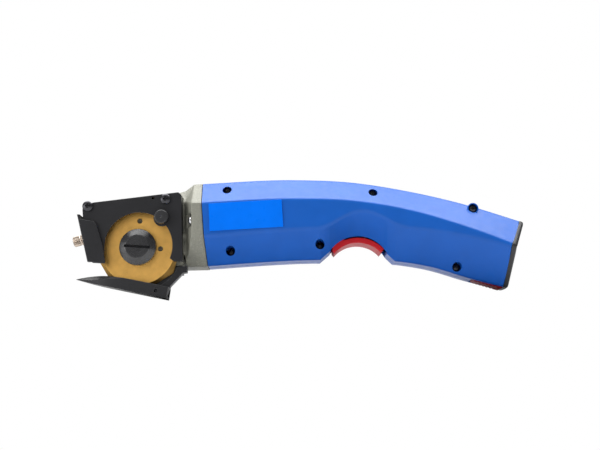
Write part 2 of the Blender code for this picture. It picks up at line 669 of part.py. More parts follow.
def build_gear_housing():
    housing = add("gear_housing", housing_neck(), cast_grey())
    head = flat("housing_head", [head_outline()], HEAD_FRONT, HEAD_REAR, helper=True)
    posts = spans_along_y(COVER_SCREWS, COVER_BACK + GAP, HEAD_FRONT + 3)
    join(housing, head, rods("housing_posts", 2.1, posts, 20, helper=True))
    lean = math.radians(GUARD_LEAN)
    bore_start = Vector((guard_x(THUMB_Z) - 3, THUMB_Y, THUMB_Z - 3 * math.tan(lean)))
    bore_end = bore_start + Vector((math.cos(lean), 0, math.sin(lean))) * 14.5
    cut(
        housing,
        rods("housing_cavity", CAVITY_R, [along_y(0, 0, -5.6, 20)], 40, helper=True),
        rods("housing_bearing_seat", BEARING_R + GAP, [along_y(0, 0, -10.9, -3)], 32, helper=True),
        rods("housing_spindle_hole", 6.6, [along_y(0, 0, -14, -9)], 28, helper=True),
        rods("housing_layshaft_seat", 6.8, [((10, 0, 0), (19.9, 0, 0))], 24, helper=True),
        rods("housing_layshaft_hole", 3.6, [((15, 0, 0), (30, 0, 0))], 20, helper=True),
        block("housing_gear_chamber", (25.6, -9.9, -9.8), (50, 9.9, 20.5), helper=True),
        rods("housing_cover_threads", 1.55, spans_along_y(COVER_SCREWS, -25, -8), 12, helper=True),
        rods("housing_thumb_thread", 2.3, [(bore_start, bore_end)], 16, helper=True),
        rods("housing_back_threads", 1.5, spans_along_y(GEARBOX_SCREWS, 7, 20), 12, helper=True),
        rods("housing_arm_threads", 1.7, arm_screw_spans(-7.6), 12, helper=True),
        rods("housing_rear_holes", REAR_SCREW_BORE, rear_screw_spans(30), 12, helper=True),
    )
    for name, low, high in (("near", -30, -14.2), ("far", 14.2, 30)):
        cut(housing, block(f"housing_{name}_pocket", (25.0, low, 11.2), (33.0, high, 19.6), helper=True))


def build_housing_fasteners():
    for name, y in (("near", -REAR_SCREW_Y), ("far", REAR_SCREW_Y)):
        screw(f"housing_screw_{name}", 2.4, 2.2, 1.35, 15.5, (30.5, y, REAR_SCREW_Z), (1, 0, 0), steel())
    for number, (x, z) in enumerate(GEARBOX_SCREWS, 1):
        screw(f"gearbox_screw_{number}", 2.4, 1.6, 1.15, 8.0, (x, HEAD_REAR + 4.2, z), (0, -1, 0), steel())


def build_gearbox_cover():
    near = HEAD_REAR + GAP
    plate = [(0, 2.0), (15.6, 2.0), (16.2, 1.4), (16.2, 0)]
    collar = [(9.6, 0), (9.6, -4.2), (7.9, -4.2), (7.9, -0.2), (0, -0.2)]
    cover = turned("gearbox_cover", plate + collar, (0, near, 0), (0, 1, 0), 40, cast_grey())
    lugs = spans_along_y(GEARBOX_SCREWS, near, near + 1.7)
    join(cover, rods("gearbox_cover_lugs", 3.4, lugs, 16, helper=True))
    holes = spans_along_y(GEARBOX_SCREWS, 10, 20)
    cut(cover, rods("gearbox_cover_holes", 1.5, holes, 12, helper=True))


# ---------------------------------------------------------------- knife cover and sharpener


def opening_edge():
    """The knife opening from right to left, with the sharpener's lug standing into it."""
    dx, dz = BUTTON_X - OPENING_X, BUTTON_Z - OPENING_Z
    reach = math.hypot(dx, dz)
    aim = math.degrees(math.atan2(dz, dx))
    spread = math.degrees(math.acos((reach**2 + OPENING_R**2 - LUG_R**2) / (2 * reach * OPENING_R)))
    turn = math.degrees(math.acos((reach**2 + LUG_R**2 - OPENING_R**2) / (2 * reach * LUG_R)))
    first = arc(OPENING_X, OPENING_Z, OPENING_R, -23, aim - spread, 12)
    lug = arc(BUTTON_X, BUTTON_Z, LUG_R, aim + 180 + turn, aim + 180 - turn, 9)
    second = arc(OPENING_X, OPENING_Z, OPENING_R, aim + spread, 187, 18)
    return first + lug[1:-1] + second


def build_knife_cover():
    left = [(-20.9, -9.9), (guard_x(-9.0, 2.4), -9.4), (guard_x(16.0, 2.4), 16.0), (-33.0, 22.6)]
    corner = arc(-29.4, 23.5, 3.6, 170, 96, 5)
    outline = opening_edge() + left + corner + [COVER_CORNER, (26.7, 31.2), (27.4, -9.6), (22.6, -9.9)]
    holes = [arc(x, z, 1.9, 0, 360, 13)[:-1] for x, z in COVER_SCREWS]
    holes += [arc(9.8, 29.3, 0.9, 0, 360, 9)[:-1], arc(BUTTON_X, BUTTON_Z, 2.3, 0, 360, 15)[:-1]]
    cover = flat("knife_cover", [outline] + holes, COVER_FRONT, COVER_BACK, black_sheet())
    right, high = COVER_CORNER
    top = [(x, high + (x - right) * COVER_TOP_SLOPE) for x in (-26.6, right - 0.4)]
    top += [(x, z - COVER_SHEET) for x, z in top[::-1]]
    top_flange = flat("cover_top_flange", [top], COVER_FRONT + 0.2, -9.5, helper=True)
    side = [(26.7, 31.0), (27.35, -9.4), (26.35, -9.4), (25.7, 31.0)]
    side_flange = flat("cover_side_flange", [side], COVER_FRONT + 0.2, HEAD_FRONT - GAP, helper=True)
    join(cover, top_flange, side_flange)
    clearance = block("cover_blade_clearance", (25, BLADE_FRONT - 0.7, -12), (29, -10, 8), helper=True)
    cut(cover, clearance)
    for number, (x, z) in enumerate(COVER_SCREWS, 1):
        place = (x, COVER_FRONT - GAP - 1.9, z)
        screw(f"cover_screw_{number}", 3.1, 1.9, 1.25, 12.5, place, (0, 1, 0), black_screw())


def build_sharpener():
    place = (BUTTON_X, -25.2, BUTTON_Z)
    cup = [(0, 0), (BUTTON_R - 0.5, 0), (BUTTON_R, -0.5), (BUTTON_R, -2.8), (3.4, -2.8), (3.4, -0.9)]
    stem = [(1.9, -0.9), (1.9, -6.6), (0, -6.6)]
    black = material("button_black", (0.03, 0.03, 0.033), 0.4)
    turned("sharpener_button", cup + stem, place, (0, -1, 0), 28, black)
    turned("sharpener_spring", ring(2.3, 3.0, 1.8), (BUTTON_X, -21.8, BUTTON_Z), (0, 1, 0), 20, steel())
    stone = material("stone_grey", (0.3, 0.28, 0.26), 0.9)
    rods("grinding_stone", 3.4, [along_y(BUTTON_X, BUTTON_Z, -18.3, -16.3)], 20, stone)


# ---------------------------------------------------------------- finger guard


def build_finger_guard():
    bottom, top = -8.9, 20.0
    corners = ((0, bottom), (0, top), (GUARD_SHEET, top), (GUARD_SHEET, bottom))
    strip = [(guard_x(z, depth), z) for depth, z in corners]
    guard = flat("finger_guard", [strip], GUARD_NEAR, 12.0, black_sheet())
    flange = [(guard_x(17.4, 0.3), 17.4), (-25.8, 15.4), (-24.2, 13.5), (-20.1, -2.0)]
    flange += [(-21.8, -10.6), (guard_x(-8.8, 0.3), -8.8)]
    join(guard, flat("guard_flange", [flange], GUARD_NEAR + 0.15, GUARD_NEAR + 1.4, helper=True))
    x, z = guard_x(THUMB_Z), THUMB_Z
    low, high = (-4, THUMB_Y - 2.3, -7.2), (5, THUMB_Y + 2.3, 8.2)
    slot = tilted_block("guard_slot", x, z, -GUARD_LEAN, low, high, helper=True)
    relief = block("guard_relief", (-45, GUARD_NEAR + 3.2, -20), (-26, 15, -2.6), helper=True)
    cut(guard, slot, relief)


def build_thumbscrew():
    lean = math.radians(GUARD_LEAN)
    place = (guard_x(THUMB_Z), THUMB_Y, THUMB_Z)
    grips = gear_outline(24, THUMB_R, 0.35)
    nickel = material("nickel", (0.55, 0.5, 0.44), 0.3, 1.0)
    head = flat("thumbscrew", [grips], 0.0, 8.6, nickel, upright=False)
    outward = Vector((-math.cos(lean), 0, -math.sin(lean)))
    head.rotation_mode = "QUATERNION"
    head.rotation_quaternion = outward.to_track_quat("Z", "Y")
    head.location = (Vector(place) + outward * (GAP + 8.6 / 2)) * MM
    start, end = Vector(place) + outward * 3.0, Vector(place) - outward * 9.5
    join(head, rods("thumbscrew_shank", 1.9, [(start, end)], 16, helper=True))


# ---------------------------------------------------------------- foot


def foot_point(u, depth):
    """The point u along the foot's slope and depth from the blade's axis, measured towards the sole."""
    slope = math.radians(FOOT_SLOPE)
    return (u * math.cos(slope) - depth * math.sin(slope), -u * math.sin(slope) - depth * math.cos(slope))


def build_foot():
    profile = [foot_point(u, d) for u, d in (
        (24.0, FOOT_SOLE), (24.6, FOOT_TOP), (-1.0, FOOT_TOP), (-8.0, FOOT_TOP + 0.2), (-14.0, 20.9),
        (-21.0, 22.6), (-32.2, 26.3), (-26.0, 26.9), (-18.0, FOOT_SOLE),
    )]
    near, far = FOOT_Y - FOOT_HALF, FOOT_Y + FOOT_HALF
    foot = flat("foot", [profile], near, far, black_sheet())
    half = FOOT_HALF - 0.02
    toe = [(-10, half), (-18, half * 0.9), (-25, half * 0.7), (-31, half * 0.42), (-36, 1.2), (-37.8, 0.4)]
    plan = [(FOOT_HEEL_FAR, FOOT_Y + half)] + [(x, FOOT_Y + y) for x, y in toe]
    plan += [(x, FOOT_Y - y) for x, y in toe[::-1]] + [(30, FOOT_Y - half)]
    boolean(foot, flat("foot_plan", [plan], -45.0, -10.0, helper=True, upright=False), "INTERSECT")
    cut(
        foot,
        rods("foot_blade_slot", BLADE_R + GAP, [along_y(0, 0, FOOT_Y - 1.3, FOOT_Y + 1.3)], 96, helper=True),
        foot_box("foot_tongue_groove", (5.4, FOOT_Y - 3.4, FOOT_TOP - 4), (30, FOOT_Y + 3.4, 25.7)),
        foot_box("foot_counter_pocket", (-13.2, FOOT_Y, FOOT_TOP - 4), (-3.8, FOOT_Y + 2.7, 24.6)),
        rods("foot_pin_hole", 1.2, [along_y(*FOOT_PIN, -26, -2)], 12, helper=True),
    )
    plate = [foot_point(u, d) for u, d in ((-12.9, 20.4), (-4.1, 20.4), (-4.1, 24.3), (-12.9, 24.3))]
    carbide = material("carbide", (0.3, 0.3, 0.31), 0.25, 1.0)
    flat("counter_blade", [plate], FOOT_Y + 1.1, FOOT_Y + 2.4, carbide)
    reach = FOOT_HALF - 0.2
    rods("foot_pin", 0.9, [along_y(*FOOT_PIN, FOOT_Y - reach, FOOT_Y + reach)], 12, steel())


def foot_box(name, low, high):
    """A cutter between corners (u, y, depth) of the foot's own frame."""
    (u0, y0, d0), (u1, y1, d1) = low, high
    return tilted_block(name, 0, 0, FOOT_SLOPE, (u0, y0, -d1), (u1, y1, -d0), helper=True)


def build_arm():
    lower = [foot_point(u, d) for u, d in ((24.4, FOOT_TOP - 1.0), (23.6, 25.4), (5.8, 25.4), (5.8, 19.8))]
    inner = arc(0, 0, HEAD_R + 1.6, -66, -45, 4)
    outline = [(29.7, -12.3), (29.5, -16.1), (27.2, -16.4)] + lower + inner + [(14.5, -12.3)]
    arm = flat("foot_arm", [outline], FOOT_Y - 3.1, FOOT_Y + 3.1, black_sheet())
    blade_back = BLADE_FRONT + BLADE_THICKNESS
    join(arm, block("arm_flange", (18.6, -13.0, -14.9), (24.8, 9.5, -12.35), helper=True))
    cut(
        arm,
        rods("arm_blade_relief", BLADE_R + 0.9, [along_y(0, 0, -25, blade_back + 0.5)], 96, helper=True),
        rods("arm_pin_hole", 1.2, [along_y(*FOOT_PIN, -20, -8)], 12, helper=True),
        rods("arm_screw_holes", 1.7, arm_screw_spans(-10), 12, helper=True),
        rods("arm_counterbores", 2.7, arm_screw_spans(-13.7), 16, helper=True),
    )
    for number, y in enumerate(ARM_SCREW_YS, 1):
        screw(f"arm_screw_{number}", 2.4, 1.5, 1.35, 7.4, (ARM_SCREW_X, y, -15.5), (0, 0, 1), black_screw())


# ---------------------------------------------------------------- assembly


def stand_on_ground():
    """Moves the whole cutter so that its box is centred on the origin and rests on z = 0."""
    bpy.context.view_layer.update()
    graph = bpy.context.evaluated_depsgraph_get()
    corners = []
    for obj in parts.objects:
        if obj.type == "MESH":
            mesh = obj.evaluated_get(graph).to_mesh()
            corners += [obj.matrix_world @ vertex.co for vertex in mesh.vertices]
    low = [min(c[i] for c in corners) for i in range(3)]
    high = [max(c[i] for c in corners) for i in range(3)]
    origin.location = (-(low[0] + high[0]) / 2, -(low[1] + high[1]) / 2, -low[2])


def build():
    global parts, cutters, origin
    clear_scene()
    parts = new_collection("cloth_cutter")
    cutters = new_collection("cutters")
    origin = bpy.data.objects.new("blade_axis", None)
    parts.objects.link(origin)
    build_shell("left_shell", -1)
    build_shell("right_shell", 1)
    build_shell_screws()
    build_nameplate()
    build_trigger()
    build_switch_gear()
    build_battery()
    build_end_cap()
    build_latch()
    build_motor()
    build_layshaft()
    build_spindle()
    build_blade()
    build_blade_fixing()
    build_gear_housing()
    build_housing_fasteners()
    build_gearbox_cover()
    build_knife_cover()
    build_sharpener()
    build_finger_guard()
    build_thumbscrew()
    build_foot()
    build_arm()
    stand_on_ground()


build()
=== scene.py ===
"""Looks of a cordless round-knife cloth cutter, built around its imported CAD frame.

Shapes are worked out in millimetres in the cutter's own frame, as in the CAD: the blade turns about
the Y axis through the origin, +X runs back along the handle, +Z is up and the knife cover faces -Y.
"""

import json
import math

import bmesh
import bpy
import numpy as np
from mathutils import Matrix, Vector


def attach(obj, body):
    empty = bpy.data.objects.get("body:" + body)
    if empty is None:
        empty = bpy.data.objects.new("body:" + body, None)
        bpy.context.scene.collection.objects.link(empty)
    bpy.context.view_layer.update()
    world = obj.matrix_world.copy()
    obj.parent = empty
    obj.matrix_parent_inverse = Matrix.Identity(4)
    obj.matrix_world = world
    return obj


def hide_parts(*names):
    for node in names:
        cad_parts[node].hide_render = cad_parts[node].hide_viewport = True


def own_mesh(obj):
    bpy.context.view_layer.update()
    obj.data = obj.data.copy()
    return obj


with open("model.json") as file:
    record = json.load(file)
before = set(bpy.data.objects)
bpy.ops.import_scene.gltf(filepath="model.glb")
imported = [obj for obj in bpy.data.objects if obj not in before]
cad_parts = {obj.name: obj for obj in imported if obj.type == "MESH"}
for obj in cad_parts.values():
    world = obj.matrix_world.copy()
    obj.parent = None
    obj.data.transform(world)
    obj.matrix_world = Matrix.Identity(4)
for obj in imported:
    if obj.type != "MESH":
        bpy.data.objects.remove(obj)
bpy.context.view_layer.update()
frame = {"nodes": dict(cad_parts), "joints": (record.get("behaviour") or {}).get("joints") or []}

MM = 0.001
GAP = 0.3
SLIVER = 0.002
HOLE_R = 1.6
WIRE_SIDES = 10
UNTURNED = Matrix.Identity(3)
NUMBERS, VECTORS = "ShaderNodeMath", "ShaderNodeVectorMath"
JOINTS = {joint["name"]: joint for joint in frame["joints"]}
AXIS = Vector(JOINTS["blade_spin"]["pos_m"])

# Handle: heights along X of the four edges that shape its section, and the section's half widths.
TOP_LINE = ((32, 40.7), (95, 42.0), (130, 39.7), (165, 33.4), (200, 24.3), (240, 10.6))
RIDGE_LINE = ((32, 25.1), (95, 26.4), (130, 24.4), (165, 17.7), (200, 6.2), (240, -10.4))
WAIST_LINE = ((32, 4.1), (105, 7.6), (170, 6.0), (200, 0.6), (240, -11.3))
BOTTOM_LINE = ((32, -12.0), (110, -9.5), (160, -11.9), (177, -15.2), (200, -22.6), (240, -33.6))
TOP_HALF, HANDLE_HALF, BOTTOM_HALF = 5.0, 23.0, 9.0
WALL = 2.2
FRONT_SEAM = (39.5, 26.0, -3.4)
RECESS_X, RECESS_Z, RECESS_R = 133.2, -16.0, 20.3
WAIST_HUMP, HUMP_HALF_LENGTH = 9.7, 29.0
RAMPS = (((110.5, -9.4), (117.5, -3.6)), ((150.5, -5.8), (155.6, -11.1)))
TRIGGER_X, TRIGGER_Z, TRIGGER_R, TRIGGER_DEPTH, TRIGGER_HALF = 133.3, -18.0, 18.7, 3.3, 8.8
TRIGGER_OPENING = (116.8, 151.2)
PIVOT_X, PIVOT_Z, PIVOT_EAR_R = 117.5, 4.0, 2.6
SHELL_SCREWS = ((54.1, 34.9), (143.9, 31.1), (205.6, 20.4), (55.9, -3.4), (110.3, -0.7), (193.3, -16.1))
WELL_R, WELL_FLOOR, BOSS_R, BOSS_REACH = 2.85, -6.5, 4.0, 22.5
TOP_EDGE_SCREW, COLLAR_Y, COLLAR = 3, -9.1, ((0, 0), (3.25, 0), (3.4, 0.15), (3.4, 8.8), (0, 8.8))
BATTERY = (228.1, -8.1, 17.5)
SWEEP_R, CAP_THICKNESS, CAP_PROUD = 68.0, 2.7, 0.2
LATCH_LENGTH, LATCH_HALF = 18.8, 6.0

# Head: blade, cover, guard and foot.
BLADE_SIDES, BLADE_FLATS, BLADE_FRONT, BLADE_THICKNESS, BLADE_TURN = 8, 49.0, -14.5, 1.2, -37.0
BLADE_R = BLADE_FLATS / 2 / math.cos(math.pi / BLADE_SIDES)
GROUND_R, EDGE_THICKNESS, SPINDLE_HOLE = BLADE_FLATS / 2 - 1.9, 0.16, 4.3
BLADE_HOLES = ((0.8, 16.4), (13.4, -1.0))
COVER_BACK, COVER_FRONT = -19.5, -20.5
OPENING_X, OPENING_Z, OPENING_R = 1.0, 0.2, 20.4
COVER_SCREWS = ((-29.7, 25.1), (17.3, 28.4))
COVER_CORNER, COVER_TOP_SLOPE = (25.0, 32.6), 5.4 / 54.7
BUTTON_X, BUTTON_Z, BUTTON_R, LUG_R = 15.2, 17.0, 4.2, 5.2
GUARD_X, GUARD_LEAN, GUARD_SHEET, GUARD_NEAR = -31.2, 13.0, 1.5, -22.6
GUARD_BOTTOM, GUARD_TOP = -8.9, 20.0
THUMB_Z, THUMB_Y, THUMB_R, KNURLS = 8.0, -4.0, 3.2, 30
FOOT_SLOPE, FOOT_TOP, FOOT_SOLE, FOOT_HALF = 12.9, 20.3, 27.2, 8.4
FOOT_Y = BLADE_FRONT + BLADE_THICKNESS / 2
FOOT_PIN = (11.6, -27.3)
ARM_SCREW_X, ARM_SCREW_YS = 21.5, (-6.0, 5.0)
LID_Y, LID_SCREWS = 13.3, ((8.9, 15.4), (-15.4, 8.9))

# Screws: head radius and height, shank radius and length. CROWN is the angle of a head's dome, in radians.
GRIP_SCREW, PLATE_SCREW = (2.5, 1.8, 1.3, 14.0), (3.1, 1.9, 1.25, 12.5)
BRACKET_SCREW, CASTING_SCREW = (2.4, 1.5, 1.35, 7.4), (2.4, 2.2, 1.35, 15.5)
LID_SCREW = (2.4, 1.6, 1.15, 8.0)
CROWN = 1.2

# Studio, in metres and watts: lights are (name, place, aim, size, power).
WHITE = (1.0, 1.0, 1.0, 1.0)
AMBIENT, FLOOR_GREY, FLOOR_R, FLOOR_DROP = 0.3, 0.66, 0.6, 0.0002
LIGHTS = (
    ("overhead", (0.0, 0.0, 0.9), (0, 0, 0.03), (1.4, 0.75), 23.0),
    ("front_fill", (-0.6, -1.1, 0.7), (0, 0, 0.03), (0.8, 0.6), 1.0),
    ("toe_light", (-0.91, -0.62, 0.16), (-0.12, 0, 0.01), (0.5, 0.5), 3.5),
)
# Camera: lens in millimetres, its place in the cutter's frame, tilt and roll in degrees.
LENS, CAMERA_PLACE, TILT, ROLL = 55.96, (96.02, -574.6, -87.17), 100.0, 1.41


# ---- meshes


def placed(name, data):
    """A new object in the scene."""
    obj = bpy.data.objects.new(name, data)
    bpy.context.scene.collection.objects.link(obj)
    return obj


def mesh_object(name, points, faces):
    """An object from points in the cutter's frame, in millimetres."""
    mesh = bpy.data.meshes.new(name)
    mesh.from_pydata([AXIS + Vector(p) * MM for p in points], [], faces)
    bm = bmesh.new()
    bm.from_mesh(mesh)
    bmesh.ops.remove_doubles(bm, verts=bm.verts, dist=1e-7)
    bmesh.ops.recalc_face_normals(bm, faces=bm.faces)
    if bm.calc_volume(signed=True) < 0:
        bmesh.ops.reverse_faces(bm, faces=bm.faces)
    bm.to_mesh(mesh)
    bm.free()
    return placed(name, mesh)


def bake(obj):
    """Applies the object's modifiers."""
    bpy.context.view_layer.update()
    graph = bpy.context.evaluated_depsgraph_get()
    mesh = bpy.data.meshes.new_from_object(obj.evaluated_get(graph))
    obj.modifiers.clear()
    obj.data = mesh
    return obj


def boolean(target, tool, operation):
    modifier = target.modifiers.new(tool.name, "BOOLEAN")
    modifier.operation = operation
    modifier.object = tool
    modifier.solver = "EXACT"
    return bake(target)


def combine(target, tools, operation):
    """Joins or cuts target with each tool in turn, and removes the tools."""
    for tool in tools:
        boolean(target, tool, operation)
        bpy.data.objects.remove(tool, do_unlink=True)
    return target


def cut(target, *tools):
    return combine(target, tools, "DIFFERENCE")


def join(target, *tools):
    return combine(target, tools, "UNION")


def lofted(name, rows, capped=True):
    """A skin through rows of points, each row a closed loop."""
    points = [p for row in rows for p in row]
    n = len(rows[0])
    faces = []
    for i in range(len(rows) - 1):
        for j in range(n):
            k = (j + 1) % n
            faces.append((i * n + j, (i + 1) * n + j, (i + 1) * n + k, i * n + k))
    if capped:
        faces.append(tuple(range(n)))
        faces.append(tuple((len(rows) - 1) * n + j for j in range(n)))
    return mesh_object(name, points, faces)


def basis(axis):
    """Two directions that with axis make a right-handed frame."""
    axis = Vector(axis).normalized()
    side = axis.orthogonal().normalized() if abs(axis.y) < 0.9 else Vector((1, 0, 0))
    return axis, side, axis.cross(side).normalized()


def lathe(name, profile, place, axis, steps=64):
    """A turned solid: (radius, height) points run down the outside, along axis from place."""
    axis, side, other = basis(axis)
    place = Vector(place)
    rows = []
    for i in range(steps):
        a = math.tau * i / steps
        out = side * math.cos(a) + other * math.sin(a)
        rows.append([place + out * r + axis * h for r, h in profile])
    points = [p for row in rows for p in row]
    n = len(profile)
    faces = []
    for i in range(steps):
        k = (i + 1) % steps
        for j in range(n - 1):
            faces.append((i * n + j, k * n + j, k * n + j + 1, i * n + j + 1))
        if profile[0] != profile[-1] and profile[0][0] > 0 and profile[-1][0] > 0:
            faces.append((i * n + n - 1, k * n + n - 1, k * n, i * n))
    return mesh_object(name, points, faces)


def rod(name, radius, start, end, steps=32, edge=0.0):
    """A straight round bar with softly broken ends."""
    start, end = Vector(start), Vector(end)
    length = (end - start).length
    profile = [(0, 0), (radius, 0), (radius, length), (0, length)]
    if edge:
        flat = radius - edge
        profile = [(0, 0), (flat, 0), (radius, edge), (radius, length - edge), (flat, length), (0, length)]
    return lathe(name, profile, start, end - start, steps)


def along_y(name, radius, x, z, low, high, steps=40):
    return rod(name, radius, (x, low, z), (x, high, z), steps)


def box(name, low, high, turn=UNTURNED, about=(0, 0, 0)):
    """A plain cutter between two corners, turned about a point."""
    xs, ys, zs = zip(low, high)
    corners = [Vector(about) + turn @ Vector((x, y, z)) for x in xs for y in ys for z in zs]
    faces = [(0, 1, 3, 2), (4, 6, 7, 5), (0, 4, 5, 1), (2, 3, 7, 6), (0, 2, 6, 4), (1, 5, 7, 3)]
    return mesh_object(name, corners, faces)


def dip(degrees):
    """A turn that lowers +X by this many degrees."""
    return Matrix.Rotation(math.radians(degrees), 3, "Y")


def in_battery(u, y, v):
    x, z, lean = BATTERY
    return Vector((x, 0, z)) + dip(lean) @ Vector((u, y, v))


def battery_box(name, low, high):
    x, z, lean = BATTERY
    return box(name, low, high, dip(lean), (x, 0, z))


def arc(x, z, radius, start, end, count):
    angles = np.radians(np.linspace(start, end, count))
    return [(x + radius * math.cos(a), z + radius * math.sin(a)) for a in angles]


def circle(x, z, radius, count):
    return arc(x, z, radius, 0, 360, count + 1)[:-1]


def filleted(points, radii, steps=5, closed=False):
    """The same line with each inner corner rounded to reach this far along its edges."""
    points = [Vector(p) for p in points]
    n = len(points)
    made = []
    for i, p in enumerate(points):
        if not closed and i in (0, n - 1):
            made.append(tuple(p))
            continue
        before, after = points[i - 1], points[(i + 1) % n]
        reach = radii[i] if hasattr(radii, "__len__") else radii
        if reach <= 0:
            made.append(tuple(p))
            continue
        a = p + (before - p).normalized() * min(reach, (before - p).length * 0.48)
        b = p + (after - p).normalized() * min(reach, (after - p).length * 0.48)
        for t in np.linspace(0, 1, steps):
            made.append(tuple(a * (1 - t) ** 2 + p * 2 * t * (1 - t) + b * t**2))
    return made


def plate(name, outlines, near, far, edge=0.25, turn=UNTURNED, about=(0, 0, 0), smooth=2):
    """A sheet with rounded edges from near to far in Y: the first outline is its rim, the rest are holes.

    Outlines are (x, z) points. With turn, they lie along the turned axes.
    """
    curve = bpy.data.curves.new(name, "CURVE")
    curve.dimensions = "2D"
    curve.fill_mode = "BOTH"
    curve.bevel_depth = edge * MM
    curve.bevel_resolution = smooth
    curve.offset = -edge * MM
    curve.extrude = (abs(far - near) / 2 - edge) * MM
    for outline in outlines:
        spline = curve.splines.new("POLY")
        spline.points.add(len(outline) - 1)
        for point, (u, v) in zip(spline.points, outline):
            point.co = (u * MM, v * MM, 0.0, 1.0)
        spline.use_cyclic_u = True
    drawn = placed(name, curve)
    bpy.context.view_layer.update()
    graph = bpy.context.evaluated_depsgraph_get()
    mesh = bpy.data.meshes.new_from_object(drawn.evaluated_get(graph))
    bpy.data.objects.remove(drawn, do_unlink=True)
    bpy.data.curves.remove(curve)
    middle = (near + far) / 2
    flat = [v.co / MM for v in mesh.vertices]
    points = [Vector(about) + turn @ Vector((p.x, middle - p.z, p.y)) for p in flat]
    faces = [tuple(p.vertices) for p in mesh.polygons]
    bpy.data.meshes.remove(mesh)
    return mesh_object(name, points, faces)


def cad_copy(name, node):
    """A copy of a CAD node's mesh, welded and with its flat faces whole again."""
    source = frame["nodes"][node]
    bm = bmesh.new()
    bm.from_mesh(source.data)
    bmesh.ops.remove_doubles(bm, verts=bm.verts, dist=2e-6)
    bmesh.ops.dissolve_limit(bm, angle_limit=math.radians(1.0), verts=bm.verts, edges=bm.edges)
    mesh = bpy.data.meshes.new(name)
    bm.to_mesh(mesh)
    bm.free()
    return placed(name, mesh)


def broken_edges(obj, width, angle=32.0):
    """Rounds every edge sharper than angle."""
    bevel = obj.modifiers.new("Bevel", "BEVEL")
    bevel.width = width * MM
    bevel.segments = 2
    bevel.limit_method = "ANGLE"
    bevel.angle_limit = math.radians(angle)
    return bake(obj)


def soft_cast(obj, voxel, passes):
    """Rounds a casting all over, as its mould does."""
    remesh = obj.modifiers.new("Remesh", "REMESH")
    remesh.mode = "VOXEL"
    remesh.voxel_size = voxel * MM
    relax = obj.modifiers.new("Smooth", "SMOOTH")
    relax.iterations = passes
    return bake(obj)


def sealed(obj):
    """Welds the slivers and fills the pinholes that cuts leave along a rim."""
    bm = bmesh.new()
    bm.from_mesh(obj.data)
    bmesh.ops.remove_doubles(bm, verts=bm.verts, dist=SLIVER * MM)
    bmesh.ops.dissolve_degenerate(bm, edges=bm.edges, dist=SLIVER * MM)
    bmesh.ops.holes_fill(bm, edges=[edge for edge in bm.edges if edge.is_boundary], sides=0)
    bm.to_mesh(obj.data)
    bm.free()
    return obj


def tube(name, points, radius):
    """A round wire along points."""
    rows = []
    points = [Vector(p) for p in points]
    up = Vector((0.3, 0.5, 0.8)).normalized()
    for i, p in enumerate(points):
        ahead = (points[min(i + 1, len(points) - 1)] - points[max(i - 1, 0)]).normalized()
        side = ahead.cross(up).normalized()
        up = side.cross(ahead).normalized()
        rows.append([
            p + (side * math.cos(a) + up * math.sin(a)) * radius
            for a in np.linspace(0, math.tau, WIRE_SIDES, endpoint=False)
        ])
    return lofted(name, rows)


def coil(name, place, axis, radius, wire, length, turns):
    axis, side, other = basis(axis)
    points = []
    for t in np.linspace(0, 1, int(turns * 20) + 1):
        a = math.tau * turns * t
        rise = wire + (length - 2 * wire) * t
        points.append(Vector(place) + (side * math.cos(a) + other * math.sin(a)) * radius + axis * rise)
    return tube(name, points, wire)


def piece(obj, body, finish, node, angle=35.0, weighted=True):
    """Gives a piece its finish and shading, hangs it on its body's empty and hides the CAD node it
    replaces.
    """
    obj.data.materials.clear()
    obj.data.materials.append(finish)
    for polygon in obj.data.polygons:
        polygon.material_index = 0
    obj.data.shade_smooth()
    obj.data.set_sharp_from_angle(angle=math.radians(angle))
    if weighted:
        normals = obj.modifiers.new("Normals", "WEIGHTED_NORMAL")
        normals.keep_sharp = True
    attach(obj, body)
    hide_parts(node)
    return obj


# ---- materials


def scaled(colour, by):
    return [min(1, c * by) for c in colour]


